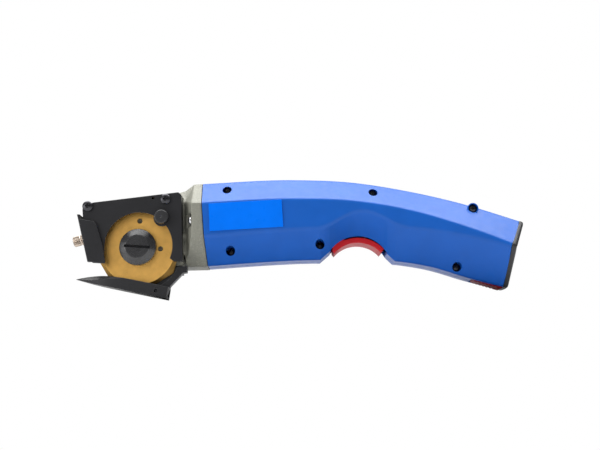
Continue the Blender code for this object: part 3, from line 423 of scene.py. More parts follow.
class Finish:
    """A Principled material whose sockets are fed by a few texture nodes."""

    def __init__(self, name, metallic=0.0, **sockets):
        self.material = bpy.data.materials.new(name)
        self.material.use_nodes = True
        self.tree = self.material.node_tree
        self.shader = self.tree.nodes["Principled BSDF"]
        self.shader.inputs["Metallic"].default_value = metallic
        for socket, value in sockets.items():
            self.shader.inputs[socket.replace("_", " ")].default_value = value
        self.place = self.node("ShaderNodeTexCoord").outputs["Object"]
        self.normal = None

    def node(self, kind, **settings):
        made = self.tree.nodes.new(kind)
        for name, value in settings.items():
            setattr(made, name, value)
        return made

    def feed(self, socket, value):
        if isinstance(value, bpy.types.NodeSocket):
            self.tree.links.new(value, socket)
        else:
            socket.default_value = value

    def work(self, kind, operation, *values):
        """The outputs of a maths node that is fed these values."""
        made = self.node(kind, operation=operation)
        for socket, value in zip(made.inputs, values):
            self.feed(socket, value)
        return made.outputs

    def noise(self, size, detail=3.0, rough=0.55, stretch=None, vector=None):
        """Noise whose features are about size millimetres across."""
        vector = vector or self.place
        if stretch:
            mapping = self.node("ShaderNodeMapping")
            self.feed(mapping.inputs["Vector"], vector)
            mapping.inputs["Scale"].default_value = stretch
            vector = mapping.outputs["Vector"]
        made = self.node("ShaderNodeTexNoise")
        self.feed(made.inputs["Vector"], vector)
        made.inputs["Scale"].default_value = 1 / (size * MM)
        made.inputs["Detail"].default_value = detail
        made.inputs["Roughness"].default_value = rough
        return made.outputs["Fac"]

    def cells(self, size):
        made = self.node("ShaderNodeTexVoronoi")
        self.feed(made.inputs["Vector"], self.place)
        made.inputs["Scale"].default_value = 1 / (size * MM)
        return made.outputs["Distance"]

    def spread(self, value, low, high, start=0.3, end=0.7):
        """Maps a texture's middle values onto a range."""
        made = self.node("ShaderNodeMapRange")
        self.feed(made.inputs["Value"], value)
        for name, number in (("From Min", start), ("From Max", end), ("To Min", low), ("To Max", high)):
            made.inputs[name].default_value = number
        return made.outputs["Result"]

    def mix(self, share, first, second):
        made = self.node("ShaderNodeMix", data_type="RGBA")
        self.feed(made.inputs["Factor"], share)
        for socket, colour in ((made.inputs[6], first), (made.inputs[7], second)):
            self.feed(socket, colour if isinstance(colour, bpy.types.NodeSocket) else (*colour, 1.0))
        return made.outputs[2]

    def mottled(self, colour, size, detail, low, high):
        """The colour, darker and lighter in patches about size millimetres across."""
        share = self.spread(self.noise(size, detail), 0, 1)
        return self.mix(share, scaled(colour, low), scaled(colour, high))

    def edges(self, reach=0.4):
        """0 on flats, 1 within reach millimetres of an edge, where a finish wears or an edge highlight is
        painted.
        """
        rounded = self.node("ShaderNodeBevel", samples=6)
        rounded.inputs["Radius"].default_value = reach * MM
        plain = self.node("ShaderNodeNewGeometry").outputs["Normal"]
        agree = self.work(VECTORS, "DOT_PRODUCT", rounded.outputs["Normal"], plain)["Value"]
        return self.spread(agree, 1.0, 0.0, 0.86, 0.99)

    def bump(self, height, depth):
        """Adds relief of depth millimetres."""
        made = self.node("ShaderNodeBump")
        made.inputs["Distance"].default_value = depth * MM
        self.feed(made.inputs["Height"], height)
        if self.normal:
            self.feed(made.inputs["Normal"], self.normal)
        self.normal = made.outputs["Normal"]

    def done(self, colour, roughness):
        self.feed(self.shader.inputs["Base Color"], colour)
        self.feed(self.shader.inputs["Roughness"], roughness)
        if self.normal:
            self.feed(self.shader.inputs["Normal"], self.normal)
        return self.material


def moulded(name, colour, roughness=0.42, grain=0.25, relief=0.012, wear=0.12, shine=0.3):
    """Moulded plastic: fine spark-eroded grain, slight flow mottling, edges polished by handling."""
    f = Finish(name, Specular_IOR_Level=shine)
    base = f.mottled(colour, 14.0, 2.0, 0.95, 1.05)
    pale = [min(1, c * 1.3 + 0.03) for c in colour]
    base = f.mix(f.work(NUMBERS, "MULTIPLY", f.edges(), wear)[0], base, pale)
    f.bump(f.noise(grain, 2.0), relief)
    return f.done(base, f.spread(f.noise(3.0, 4.0), roughness - 0.04, roughness + 0.06))


def powder_coat(name, colour):
    """Baked paint on sheet steel: orange peel, light scuffs, edges rubbed grey, a grey that also serves as
    painted highlight along the edges.
    """
    f = Finish(name, Specular_IOR_Level=0.36)
    base = f.mottled(colour, 9.0, 3.0, 0.9, 1.12)
    # Edges painted pale grey: partly real rubbed wear, partly painted highlight on the sheet's edges.
    worn_and_highlit = f.work(NUMBERS, "MULTIPLY", f.edges(0.35), f.spread(f.noise(1.2, 4.0), 0.25, 0.85))[0]
    base = f.mix(worn_and_highlit, base, (0.17, 0.17, 0.175))
    f.bump(f.noise(0.35, 2.0), 0.012)
    scuffs = f.noise(0.5, 5.0, 0.7, stretch=(1.0, 1.0, 0.15))
    return f.done(base, f.spread(scuffs, 0.36, 0.5))


def cast_metal(name, colour):
    """Blasted die casting: darker grains, brighter grains painted on as glints, slight stains."""
    f = Finish(name, metallic=0.15)
    grains = f.noise(0.6, 5.0, 0.7)
    base = f.mottled(colour, 7.0, 3.0, 0.9, 1.06)
    base = f.mix(f.spread(grains, 0.0, 0.75, 0.4, 0.66), base, scaled(colour, 0.55))
    # Painted glints: some grains get a colour 1.9 times the base, standing in for light they catch.
    base = f.mix(f.spread(grains, 0.75, 0.0, 0.3, 0.42), base, scaled(colour, 1.9))
    f.bump(grains, 0.14)
    f.bump(f.cells(1.1), 0.06)
    return f.done(base, f.spread(grains, 0.38, 0.68))


def turned_metal(name, colour, roughness, lines, rim=None, shaded=0.0, **sockets):
    """Metal with fine rings, lines millimetres apart, left by turning about the blade's axis.

    rim is the radius where the ground rim starts, and a darker colour painted on it as shade. Slots lose
    their shine within shaded millimetres: painted shade from ambient occlusion.
    """
    f = Finish(name, **{"metallic": 1.0, **sockets})
    offset = f.work(VECTORS, "SUBTRACT", f.place, AXIS)[0]
    flat = f.work(VECTORS, "MULTIPLY", offset, (1, 0, 1))[0]
    radius = f.work(VECTORS, "LENGTH", flat)["Value"]
    rings = f.node("ShaderNodeCombineXYZ")
    f.feed(rings.inputs[0], radius)
    f.feed(rings.inputs[1], f.work(VECTORS, "DOT_PRODUCT", offset, (0, 1, 0))["Value"])
    grooves = f.noise(lines, 3.0, 0.6, vector=rings.outputs[0])
    base = f.mottled(colour, 6.0, 3.0, 0.9, 1.1)
    base = f.mix(f.spread(grooves, 0.25, 0.0), base, scaled(colour, 0.7))
    if shaded:
        # Painted shade: ambient occlusion lowers the specular level in slots and hollows.
        crevice = f.node("ShaderNodeAmbientOcclusion", samples=6)
        crevice.inputs["Distance"].default_value = shaded * MM
        shine = f.spread(crevice.outputs["AO"], 0.1, 0.8, 0.55, 0.85)
        f.feed(f.shader.inputs["Specular IOR Level"], shine)
    # Painted shade: the ground rim is coloured darker, as it looks where it faces away from the light.
    if rim:
        start, shade = rim
        outside = f.spread(radius, 0.0, 1.0, (start - 0.1) * MM, (start + 0.1) * MM)
        base = f.mix(outside, base, shade)
    f.bump(grooves, 0.008)
    smudged = f.spread(f.noise(5.0, 4.0), -0.04, 0.08)
    polish = f.spread(grooves, roughness - 0.06, roughness + 0.06)
    return f.done(base, f.work(NUMBERS, "ADD", smudged, polish)[0])


def plain_metal(name, colour, roughness=0.3, grain=0.6):
    """Small steel parts: short scratches and uneven polish."""
    f = Finish(name, metallic=1.0)
    scratches = f.noise(grain, 5.0, 0.7, stretch=(1.0, 0.2, 1.0))
    base = f.mottled(colour, 2.5, 3.0, 0.82, 1.0)
    f.bump(scratches, 0.006)
    return f.done(base, f.spread(scratches, roughness - 0.08, roughness + 0.12))


BLUE = moulded("shell_blue", (0.004, 0.092, 0.43), 0.36, grain=0.22, relief=0.008, shine=0.26)
LABEL = moulded("label_blue", (0.0, 0.152, 0.8), 0.3, grain=0.6, relief=0.003, shine=0.08)
RED = moulded("trigger_red", (0.5, 0.014, 0.02), 0.42, shine=0.14)
LATCH_RED = moulded("latch_red", (0.27, 0.007, 0.011), 0.5, shine=0.12)
BLACK = moulded("black_plastic", (0.013, 0.013, 0.015), 0.4, 0.3, 0.015, wear=0.5, shine=0.5)
SHEET = powder_coat("black_sheet", (0.009, 0.009, 0.011))
CAST = cast_metal("cast_aluminium", (0.25, 0.25, 0.207))
# The blade's ground rim colour is a darker gold, painted shade.
GOLD = turned_metal("blade_gold", (0.85, 0.49, 0.13), 0.36, 0.14, rim=(GROUND_R, (0.21, 0.125, 0.035)))
NUT = turned_metal("nut_black", (0.012, 0.012, 0.014), 0.26, 0.3, shaded=2.0, metallic=0.0)
SCREW = plain_metal("black_screw", (0.06, 0.06, 0.066), 0.28)
STEEL = plain_metal("bright_steel", (0.68, 0.68, 0.69), 0.25)
NICKEL = plain_metal("nickel", (0.56, 0.47, 0.39), 0.3)
CARBIDE = plain_metal("carbide", (0.5, 0.5, 0.52), 0.2)
CAN = plain_metal("motor_can", (0.45, 0.45, 0.46), 0.35, grain=1.5)
BOARD = moulded("board_green", (0.02, 0.16, 0.06), 0.4)
WRAP = moulded("cell_wrap", (0.04, 0.22, 0.28), 0.3)
STONE = moulded("stone", (0.3, 0.28, 0.26), 0.85, grain=0.3, relief=0.15)


# ---- handle


def along(line, x):
    """A smooth curve through the stations of a line, at x."""
    xs, zs = np.array(line, float).T
    slopes = np.gradient(zs, xs)
    i = int(np.clip(np.searchsorted(xs, x) - 1, 0, len(xs) - 2))
    span = xs[i + 1] - xs[i]
    t = (x - xs[i]) / span
    ends = (2 * t**3 - 3 * t**2 + 1) * zs[i] + (3 * t**2 - 2 * t**3) * zs[i + 1]
    return ends + span * ((t**3 - 2 * t**2 + t) * slopes[i] + (t**3 - t**2) * slopes[i + 1])


def section_corners(x, inset):
    """(half width, height) of the corners down one side of the handle at x."""
    top, ridge = along(TOP_LINE, x), along(RIDGE_LINE, x)
    waist, bottom = along(WAIST_LINE, x), along(BOTTOM_LINE, x)
    if abs(x - RECESS_X) < HUMP_HALF_LENGTH + 3:
        share = np.clip((x - RECESS_X - 3) / HUMP_HALF_LENGTH, -1, 1)
        waist += WAIST_HUMP * math.cos(math.pi / 2 * share) ** 2
    if abs(x - RECESS_X) < RECESS_R:
        bottom = max(bottom, RECESS_Z + math.sqrt(RECESS_R**2 - (x - RECESS_X) ** 2))
    for (x0, z0), (x1, z1) in RAMPS:
        if x0 < x < x1:
            bottom = max(bottom, z0 + (x - x0) * (z1 - z0) / (x1 - x0))
    waist = min(waist, ridge - 0.8)
    middle = (ridge + waist) / 2
    ridge = max(ridge - inset * 0.4, middle + 0.3)
    waist = min(waist + inset * 0.4, middle - 0.3)
    half = HANDLE_HALF - inset
    return [
        (TOP_HALF - inset * 0.4, top - inset), (half, ridge), (half, waist),
        (BOTTOM_HALF - inset * 0.4, bottom + inset),
    ]


def half_loop(x, inset, seam=0.3):
    """One side's rounded outline from the top seam to the bottom one, with the seam's edges eased."""
    corners = section_corners(x, inset)
    top, bottom, edge = corners[0][1], corners[-1][1], GAP / 2
    start, end = [(edge, top - seam), (edge + seam, top)], [(edge + seam, bottom), (edge, bottom + seam)]
    foot = 0.6 if abs(x - RECESS_X) < 1.2 * RECESS_R else 1.3
    reach = (0, 0, 1.6, 1.3, 2.0, foot, 0, 0)
    return filleted(start + corners + end, reach)


def shell_rows(side):
    """Loops round a half shell's wall, closest together at the finger recess."""
    xs = np.concatenate([np.linspace(34, 104, 24), np.linspace(105, 160, 111), np.linspace(162, 240, 32)])
    rows = []
    for x in xs:
        ring = half_loop(x, 0.0) + half_loop(x, WALL, 0.05)[::-1]
        rows.append([(x, side * y, z) for y, z in ring])
    return rows


def half_section(x, inset):
    """The corners of one side, between the points in the middle above and below them."""
    corners = section_corners(x, inset)
    return [(0, corners[0][1])] + corners + [(0, corners[-1][1])]


def both_sides(half):
    return half + [(-y, z) for y, z in half[-2:0:-1]]


def handle_solid(name, inset):
    """The handle's outer shape, drawn in by inset."""
    stations = np.linspace(30, 246, 60)
    return lofted(name, [[(x, y, z) for y, z in both_sides(half_section(x, inset))] for x in stations])


def rear_trim():
    """A cutter for everything behind the swept rear face."""
    low, high = in_battery(-SWEEP_R, 0, -55), in_battery(-SWEEP_R, 0, 55)
    swept = rod("rear_cylinder", SWEEP_R, low, high, 240)
    return cut(battery_box("rear_trim", (-14, -40, -50), (60, 40, 50)), swept)


def boss(name, x, z, side, start, clip):
    """A round post from start millimetres off the seam out to the skin."""
    low, high = sorted((side * start, side * BOSS_REACH))
    return boolean(along_y(name, BOSS_R, x, z, low, high, 44), clip, "INTERSECT")


def screw_post(number, x, z, side, clip):
    """A boss, or the collar round the one that stands out of the near skin at the top edge."""
    if side < 0 and number == TOP_EDGE_SCREW:
        return lathe("collar", COLLAR, (x, COLLAR_Y, z), (0, 1, 0), 44)
    return boss(f"post_{number}", x, z, side, GAP, clip)


def shell_half(name, side):
    shell = lofted(name, shell_rows(side))
    clip = handle_solid("clip", 0.7)
    for number, (x, z) in enumerate(SHELL_SCREWS, 1):
        join(shell, screw_post(number, x, z, side, clip))
    half = TRIGGER_HALF + 0.5
    join(shell, boss("pivot_post", PIVOT_X, PIVOT_Z, side, half, clip))
    bpy.data.objects.remove(clip, do_unlink=True)
    for number, (x, z) in enumerate(SHELL_SCREWS, 1):
        if side < 0:
            cut(shell, along_y("well", WELL_R, x, z, -30, WELL_FLOOR, 46))
            cut(shell, along_y("hole", HOLE_R, x, z, -30, 4, 16))
        else:
            end = 5.9 if number == TOP_EDGE_SCREW else 9.5
            cut(shell, along_y("hole", HOLE_R, x, z, -5, end, 16))
    cut(shell, along_y("pivot_hole", HOLE_R, PIVOT_X, PIVOT_Z, -12.4, 12.4, 16))
    low, high = TRIGGER_OPENING
    cut(shell, box("trigger_opening", (low, -half, -20), (high, half, 7.9)))
    wide, length = LATCH_HALF + 0.5, LATCH_LENGTH + 0.8
    cut(shell, battery_box("latch_notch", (-length, -wide, -30), (9, wide, -17)))
    x, z, lean = FRONT_SEAM
    cut(shell, box("front_trim", (-20, -40, -60), (0, 40, 40), dip(lean), (x, 0, z)), rear_trim())
    return sealed(shell)


def build_shells():
    piece(shell_half("left_shell_skin", -1), "body", BLUE, "left_shell")
    piece(shell_half("right_shell_skin", 1), "body", BLUE, "right_shell")


def build_nameplate():
    outline = filleted([(43.6, 24.4), (87.7, 26.0), (88.4, 9.2), (44.2, 7.6)], 0.5, closed=True)
    face = -HANDLE_HALF - GAP
    label = plate("label", [outline], face - 0.4, face, edge=0.12)
    piece(label, "body", LABEL, "nameplate")


def build_end_cap():
    """A lid that follows the swept rear face, with its outer edge rounded over."""
    lean = math.radians(BATTERY[2])

    def on_face(profile_index, inset, offset):
        """Where one line of the outline meets the swept face, moved back by offset: found by halving."""
        low, high = 200.0, 246.0
        for _ in range(40):
            x = (low + high) / 2
            y, z = profile(x, inset)[profile_index]
            u = (x - BATTERY[0]) * math.cos(lean) - (z - BATTERY[1]) * math.sin(lean)
            if u + SWEEP_R - math.sqrt(SWEEP_R**2 - y * y) < offset:
                low = x
            else:
                high = x
        return (x, y, z)

    def profile(x, inset):
        return both_sides(filleted(half_section(x, inset), (0, 1.6, 1.5, 3.0, 1.3, 0)))

    count = len(profile(220.0, 0.0))
    back = GAP + CAP_THICKNESS
    rings = [(1.0, GAP), (-CAP_PROUD + 0.15, GAP), (-CAP_PROUD, GAP + 0.2)]
    rings += [(-CAP_PROUD, back - 1.1), (-CAP_PROUD + 0.3, back - 0.4), (0.65, back - 0.1), (1.3, back)]
    rows = [[on_face(j, inset, offset) for j in range(count)] for inset, offset in rings]
    cap = lofted("end_cap_lid", rows)
    piece(cap, "battery", BLACK, "end_cap")


def build_latch():
    """The release tab: a red slide with finger ribs."""
    back = -LATCH_LENGTH
    rim = [(back, -22.0), (back + 2.0, -22.6), (-0.3, -22.6), (-0.3, -15.4), (back, -15.4)]
    outline = filleted(rim, 0.8, closed=True)
    x, z, lean = BATTERY
    latch = plate("release_tab", [outline], -LATCH_HALF, LATCH_HALF, 0.5, dip(lean), (x, 0, z))
    for u in np.arange(-15.5, -3.0, 2.2):
        start, end = in_battery(u, -LATCH_HALF - 1, -22.9), in_battery(u, LATCH_HALF + 1, -22.9)
        cut(latch, rod("rib_groove", 0.65, start, end, 16))
    piece(latch, "battery_latch", LATCH_RED, "battery_latch")


def build_trigger():
    outer = TRIGGER_R + TRIGGER_DEPTH
    under = arc(TRIGGER_X, TRIGGER_Z, TRIGGER_R, 139, 40, 40)
    over = arc(TRIGGER_X, TRIGGER_Z, outer, 41.5, 110, 30)
    ear = arc(PIVOT_X, PIVOT_Z, PIVOT_EAR_R, 70, 250, 14)
    front = [(PIVOT_X + 0.1, 0.8), (118.0, -4.2)]
    rim = under + over + ear + front
    trigger = plate("trigger_lever", [rim], -TRIGGER_HALF, TRIGGER_HALF, 0.7, smooth=3)
    cut(trigger, along_y("bore", HOLE_R, PIVOT_X, PIVOT_Z, -12, 12, 24))
    cut(trigger, box("slot", (PIVOT_X - 5, -3.2, 0.9), (PIVOT_X + 3.6, 3.2, 9)))
    piece(trigger, "trigger", RED, "trigger")


# ---- fasteners


def cross_cutter(name, place, axis, reach, width, depth):
    """Two crossed wedges that leave a cross recess."""
    axis, side, other = basis(axis)
    made = None
    for along_side, across in ((side, other), (other, side)):
        corners = []
        for h, spread in ((0.4, 1.1), (-depth, 0.45)):
            middle = Vector(place) + axis * h
            for a, b in ((-1, -1), (1, -1), (1, 1), (-1, 1)):
                corners.append(middle + along_side * a * reach * spread + across * b * width / 2)
        wedge = lofted(name, [corners[:4], corners[4:]])
        made = wedge if made is None else join(made, wedge)
    return made


def cross_screw(name, place, axis, size, finish, node):
    """A pan head screw with its head's top at place and its head facing along axis."""
    head_r, head_h, shank_r, length = size
    whole = 1 - math.cos(CROWN)
    crown = [
        (head_r * math.sin(a), -head_h * 0.55 * (1 - math.cos(a)) / whole)
        for a in np.linspace(0, CROWN, 9)
    ]
    scale = head_r / crown[-1][0]
    crown = [(r * scale, h) for r, h in crown]
    rim = [(head_r, -head_h + 0.2), (head_r - 0.2, -head_h)]
    shank = [(shank_r, -head_h), (shank_r, -length + 0.6), (shank_r - 0.6, -length), (0, -length)]
    screw = lathe(name, crown + rim + shank, place, axis, 48)
    cut(screw, cross_cutter("recess", place, axis, head_r * 0.5, head_r * 0.24, head_h * 0.75))
    piece(screw, "body", finish, node)


def build_screws():
    near, far, down, forward = (0, -1, 0), (0, 1, 0), (0, 0, -1), (-1, 0, 0)
    black, bright = (SCREW, "black_screw"), (STEEL, "bright_steel")
    wells = [(x, WELL_FLOOR - 2.1, z) for x, z in SHELL_SCREWS]
    plates = [(x, COVER_FRONT - GAP - 1.9, z) for x, z in COVER_SCREWS]
    brackets = [(ARM_SCREW_X, y, -15.5) for y in ARM_SCREW_YS]
    castings = [(30.5, -16.8, 15.3), (30.5, 16.8, 15.3)]
    lids = [(x, 17.2, z) for x, z in LID_SCREWS]
    groups = (
        ("grip_screw", "shell_screw", "123456", wells, near, GRIP_SCREW, black),
        ("plate_screw", "cover_screw", "12", plates, near, PLATE_SCREW, black),
        ("bracket_screw", "arm_screw", "12", brackets, down, BRACKET_SCREW, black),
        ("casting_screw", "housing_screw", ("near", "far"), castings, forward, CASTING_SCREW, bright),
        ("lid_screw", "gearbox_screw", "12", lids, far, LID_SCREW, bright),
    )
    for name, node, ends, places, axis, size, (finish, slot) in groups:
        for end, place in zip(ends, places):
            cross_screw(f"{name}_{end}", place, axis, size, finish, f"{node}_{end}")


# ---- head


def guard_x(z, depth=0.0):
    lean = math.radians(GUARD_LEAN)
    return GUARD_X - z * math.tan(lean) + depth / math.cos(lean)


def build_blade():
    """A flat disc, a bevel ground from its circle out to the straight cutting edges, and round holes."""
    steps = BLADE_SIDES * 16
    back = BLADE_FRONT + BLADE_THICKNESS
    rows = [[] for _ in range(5)]
    for i in range(steps):
        a = math.tau * i / steps
        local = (a - math.radians(BLADE_TURN) + math.pi) % (math.tau / BLADE_SIDES) - math.pi / BLADE_SIDES
        edge = BLADE_FLATS / 2 / math.cos(local)
        front = [(SPINDLE_HOLE, BLADE_FRONT), (GROUND_R, BLADE_FRONT)]
        rear = [(edge, back - EDGE_THICKNESS), (edge, back), (SPINDLE_HOLE, back)]
        for row, (r, y) in zip(rows, front + rear):
            row.append((r * math.cos(a), y, r * math.sin(a)))
    blade = lofted("round_knife", rows + [rows[0]], capped=False)
    for x, z in BLADE_HOLES:
        cut(blade, along_y("blade_hole", HOLE_R, x, z, BLADE_FRONT - 2, back + 2, 32))
    piece(blade, "blade_spindle", GOLD, "blade", angle=12)


def build_nut():
    """A round nut with a coned face and a wide screwdriver slot."""
    cone = [(0, 0), (6.95, 0), (7.25, 0.1), (10.75, 2.1), (11.0, 2.3), (11.1, 2.6)]
    cone += [(11.1, 4.9), (10.8, 5.2)]
    bore = [(SPINDLE_HOLE, 5.2), (SPINDLE_HOLE, 1.8), (0, 1.8)]
    nut = lathe("knife_nut", cone + bore, (0, -20.0, 0), (0, 1, 0), 96)
    cut(nut, box("slot", (-7.8, -22, -0.82), (7.8, -18.45, 0.82), dip(5.0)))
    broken_edges(nut, 0.24, angle=38)
    piece(nut, "blade_spindle", NUT, "blade_nut", angle=24)


def build_hub():
    back = BLADE_FRONT + BLADE_THICKNESS + GAP
    rim = [(SPINDLE_HOLE, 0), (10.2, 0), (10.5, 0.25), (10.5, 0.9), (10.3, 1.1)]
    neck = [(6.2, 1.1), (6.0, 1.3), (6.0, 1.9), (SPINDLE_HOLE, 1.9)]
    hub = lathe("knife_flange", rim + neck, (0, back, 0), (0, 1, 0), 72)
    piece(hub, "blade_spindle", STEEL, "blade_hub")


def opening_edge():
    """The knife opening's rim, with a lug round the sharpener button."""
    dx, dz = BUTTON_X - OPENING_X, BUTTON_Z - OPENING_Z
    reach = math.hypot(dx, dz)
    aim = math.degrees(math.atan2(dz, dx))
    spread = math.degrees(math.acos((reach**2 + OPENING_R**2 - LUG_R**2) / (2 * reach * OPENING_R)))
    turn = math.degrees(math.acos((reach**2 + LUG_R**2 - OPENING_R**2) / (2 * reach * LUG_R)))
    first = arc(OPENING_X, OPENING_Z, OPENING_R, -23, aim - spread, 36)
    lug = arc(BUTTON_X, BUTTON_Z, LUG_R, aim + 180 + turn, aim + 180 - turn, 28)
    second = arc(OPENING_X, OPENING_Z, OPENING_R, aim + spread, 187, 60)
    return first + lug[1:-1] + second


def build_knife_cover():
    """Bent sheet: a front plate with the knife opening, and flanges back along its top and right."""
    left = [(-20.9, -9.9), (guard_x(-9.0, 2.4), -9.4), (guard_x(16.0, 2.4), 16.0), (-33.0, 22.6)]
    left = filleted(left, (0, 0.6, 0, 0))
    corner = arc(-29.4, 23.5, 3.6, 170, 96, 12)
    right = filleted([COVER_CORNER, (26.7, 31.2), (27.4, -9.6), (22.6, -9.9)], (0, 0.8, 0.7, 0))
    rim = opening_edge() + left + corner + right
    holes = [circle(x, z, 1.9, 24) for x, z in COVER_SCREWS]
    holes += [circle(9.8, 29.3, 0.9, 16), circle(BUTTON_X, BUTTON_Z, 2.3, 28)]
    cover = plate("cover_plate", [rim] + holes, COVER_FRONT, COVER_BACK, 0.3)
    x1, z1 = COVER_CORNER
    top = [(x, z1 + (x - x1) * COVER_TOP_SLOPE) for x in (-26.6, x1 - 0.4)]
    top += [(x, z - 1.0) for x, z in top[::-1]]
    side = [(26.7, 31.0), (27.35, -9.4), (26.35, -9.4), (25.7, 31.0)]
    join(cover, plate("top_flange", [top], COVER_FRONT + 0.05, -9.5, 0.22))
    join(cover, plate("side_flange", [side], COVER_FRONT + 0.05, -11.7, 0.22))
    cut(cover, box("blade_clearance", (25, BLADE_FRONT - 0.7, -12), (29, -10, 8)))
    piece(cover, "body", SHEET, "knife_cover", angle=40)


def build_sharpener():
    """The push button with its centre dimple, its coil spring and the stone it carries."""
    front = [(0, 0.35), (0.35, 0.3), (0.7, 0), (3.3, 0.0), (3.75, 0.08), (4.1, 0.35), (BUTTON_R, 0.75)]
    skirt = [(BUTTON_R, 2.7), (4.05, 2.8), (3.5, 2.8), (3.4, 2.6), (3.4, 0.9), (1.9, 0.9)]
    stem = [(1.9, 6.5), (1.8, 6.6), (0, 6.6)]
    cap = lathe("sharpener_cap", front + skirt + stem, (BUTTON_X, -25.2, BUTTON_Z), (0, 1, 0), 64)
    piece(cap, "sharpener", BLACK, "sharpener_button")
    spring = coil("sharpener_coil", (BUTTON_X, -24.2, BUTTON_Z), (0, 1, 0), 2.65, 0.28, 3.6, 4.5)
    piece(spring, "body", STEEL, "sharpener_spring")
    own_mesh(spring)
    stone = rod("sharpening_stone", 3.4, (BUTTON_X, -18.3, BUTTON_Z), (BUTTON_X, -16.3, BUTTON_Z), 48, 0.2)
    piece(stone, "sharpener", STONE, "grinding_stone")


def build_guard():
    """A leaning strip with a slot for the thumbscrew, and a flange along its near edge."""
    bottom, top = GUARD_BOTTOM, GUARD_TOP
    corners = ((0, bottom), (0, top), (GUARD_SHEET, top), (GUARD_SHEET, bottom))
    strip = [(guard_x(z, depth), z) for depth, z in corners]
    guard = plate("guard_strip", [strip], GUARD_NEAR + 0.1, 12.0, 0.35)
    above, below = (guard_x(17.4, 0.3), 17.4), (guard_x(bottom, 0.3), bottom)
    flange = [above, (-25.7, 15.6), (-24.0, 13.5), (-20.2, 1.2), (-18.3, -10.3), below]
    flange = filleted(flange, (0.5, 1.0, 1.2, 5.0, 1.0, 0.5), 8, closed=True)
    join(guard, plate("guard_flange", [flange], GUARD_NEAR, GUARD_NEAR + 1.4, 0.3))
    low, high = (-4, THUMB_Y - 2.3, -7.2), (5, THUMB_Y + 2.3, 8.2)
    cut(guard, box("guard_slot", low, high, dip(-GUARD_LEAN), (guard_x(THUMB_Z), 0, THUMB_Z)))
    cut(guard, box("guard_relief", (-45, GUARD_NEAR + 3.2, -20), (-26, 15, -2.6)))
    piece(guard, "finger_guard", SHEET, "finger_guard", angle=40)


def build_thumbscrew():
    """A knurled head with a turned neck, on a threaded shank."""
    lean = math.radians(GUARD_LEAN)
    outward = Vector((-math.cos(lean), 0, -math.sin(lean)))
    place = Vector((guard_x(THUMB_Z), THUMB_Y, THUMB_Z)) + outward * GAP
    foot, front = [(0, 2.75), (0.25, 3.0)], [(8.35, 3.0), (8.6, 2.6)]
    knurled = [(0.6, THUMB_R), (3.6, THUMB_R), (3.9, 2.85), (4.3, 2.85), (4.6, THUMB_R), (8.0, THUMB_R)]
    _, side, other = basis(outward)
    rows = []
    for h, r in foot + knurled + front:
        row = []
        for i in range(KNURLS * 4):
            a = math.tau * i / (KNURLS * 4)
            depth = (0, 0.16, 0.3, 0.16)[i % 4] if r == THUMB_R else 0.0
            row.append(place + outward * h + (side * math.cos(a) + other * math.sin(a)) * (r - depth))
        rows.append(row)
    head = lofted("thumb_knob", rows)
    rings = [(0, -3.2)]
    for i in range(16):
        rings += [(1.9, -3.2 + i * 0.75 + 0.1), (1.6, -3.2 + i * 0.75 + 0.45)]
    rings += [(1.4, 9.3), (0, 9.3)]
    join(head, lathe("thread", rings, place - outward * GAP, -outward, 40))
    piece(head, "thumbscrew", NICKEL, "thumbscrew")


def foot_point(u, depth):
    slope = math.radians(FOOT_SLOPE)
    return (u * math.cos(slope) - depth * math.sin(slope), -u * math.sin(slope) - depth * math.cos(slope))


def foot_box(name, low, high):
    (u0, y0, d0), (u1, y1, d1) = low, high
    return box(name, (u0, y0, -d1), (u1, y1, -d0), dip(FOOT_SLOPE))


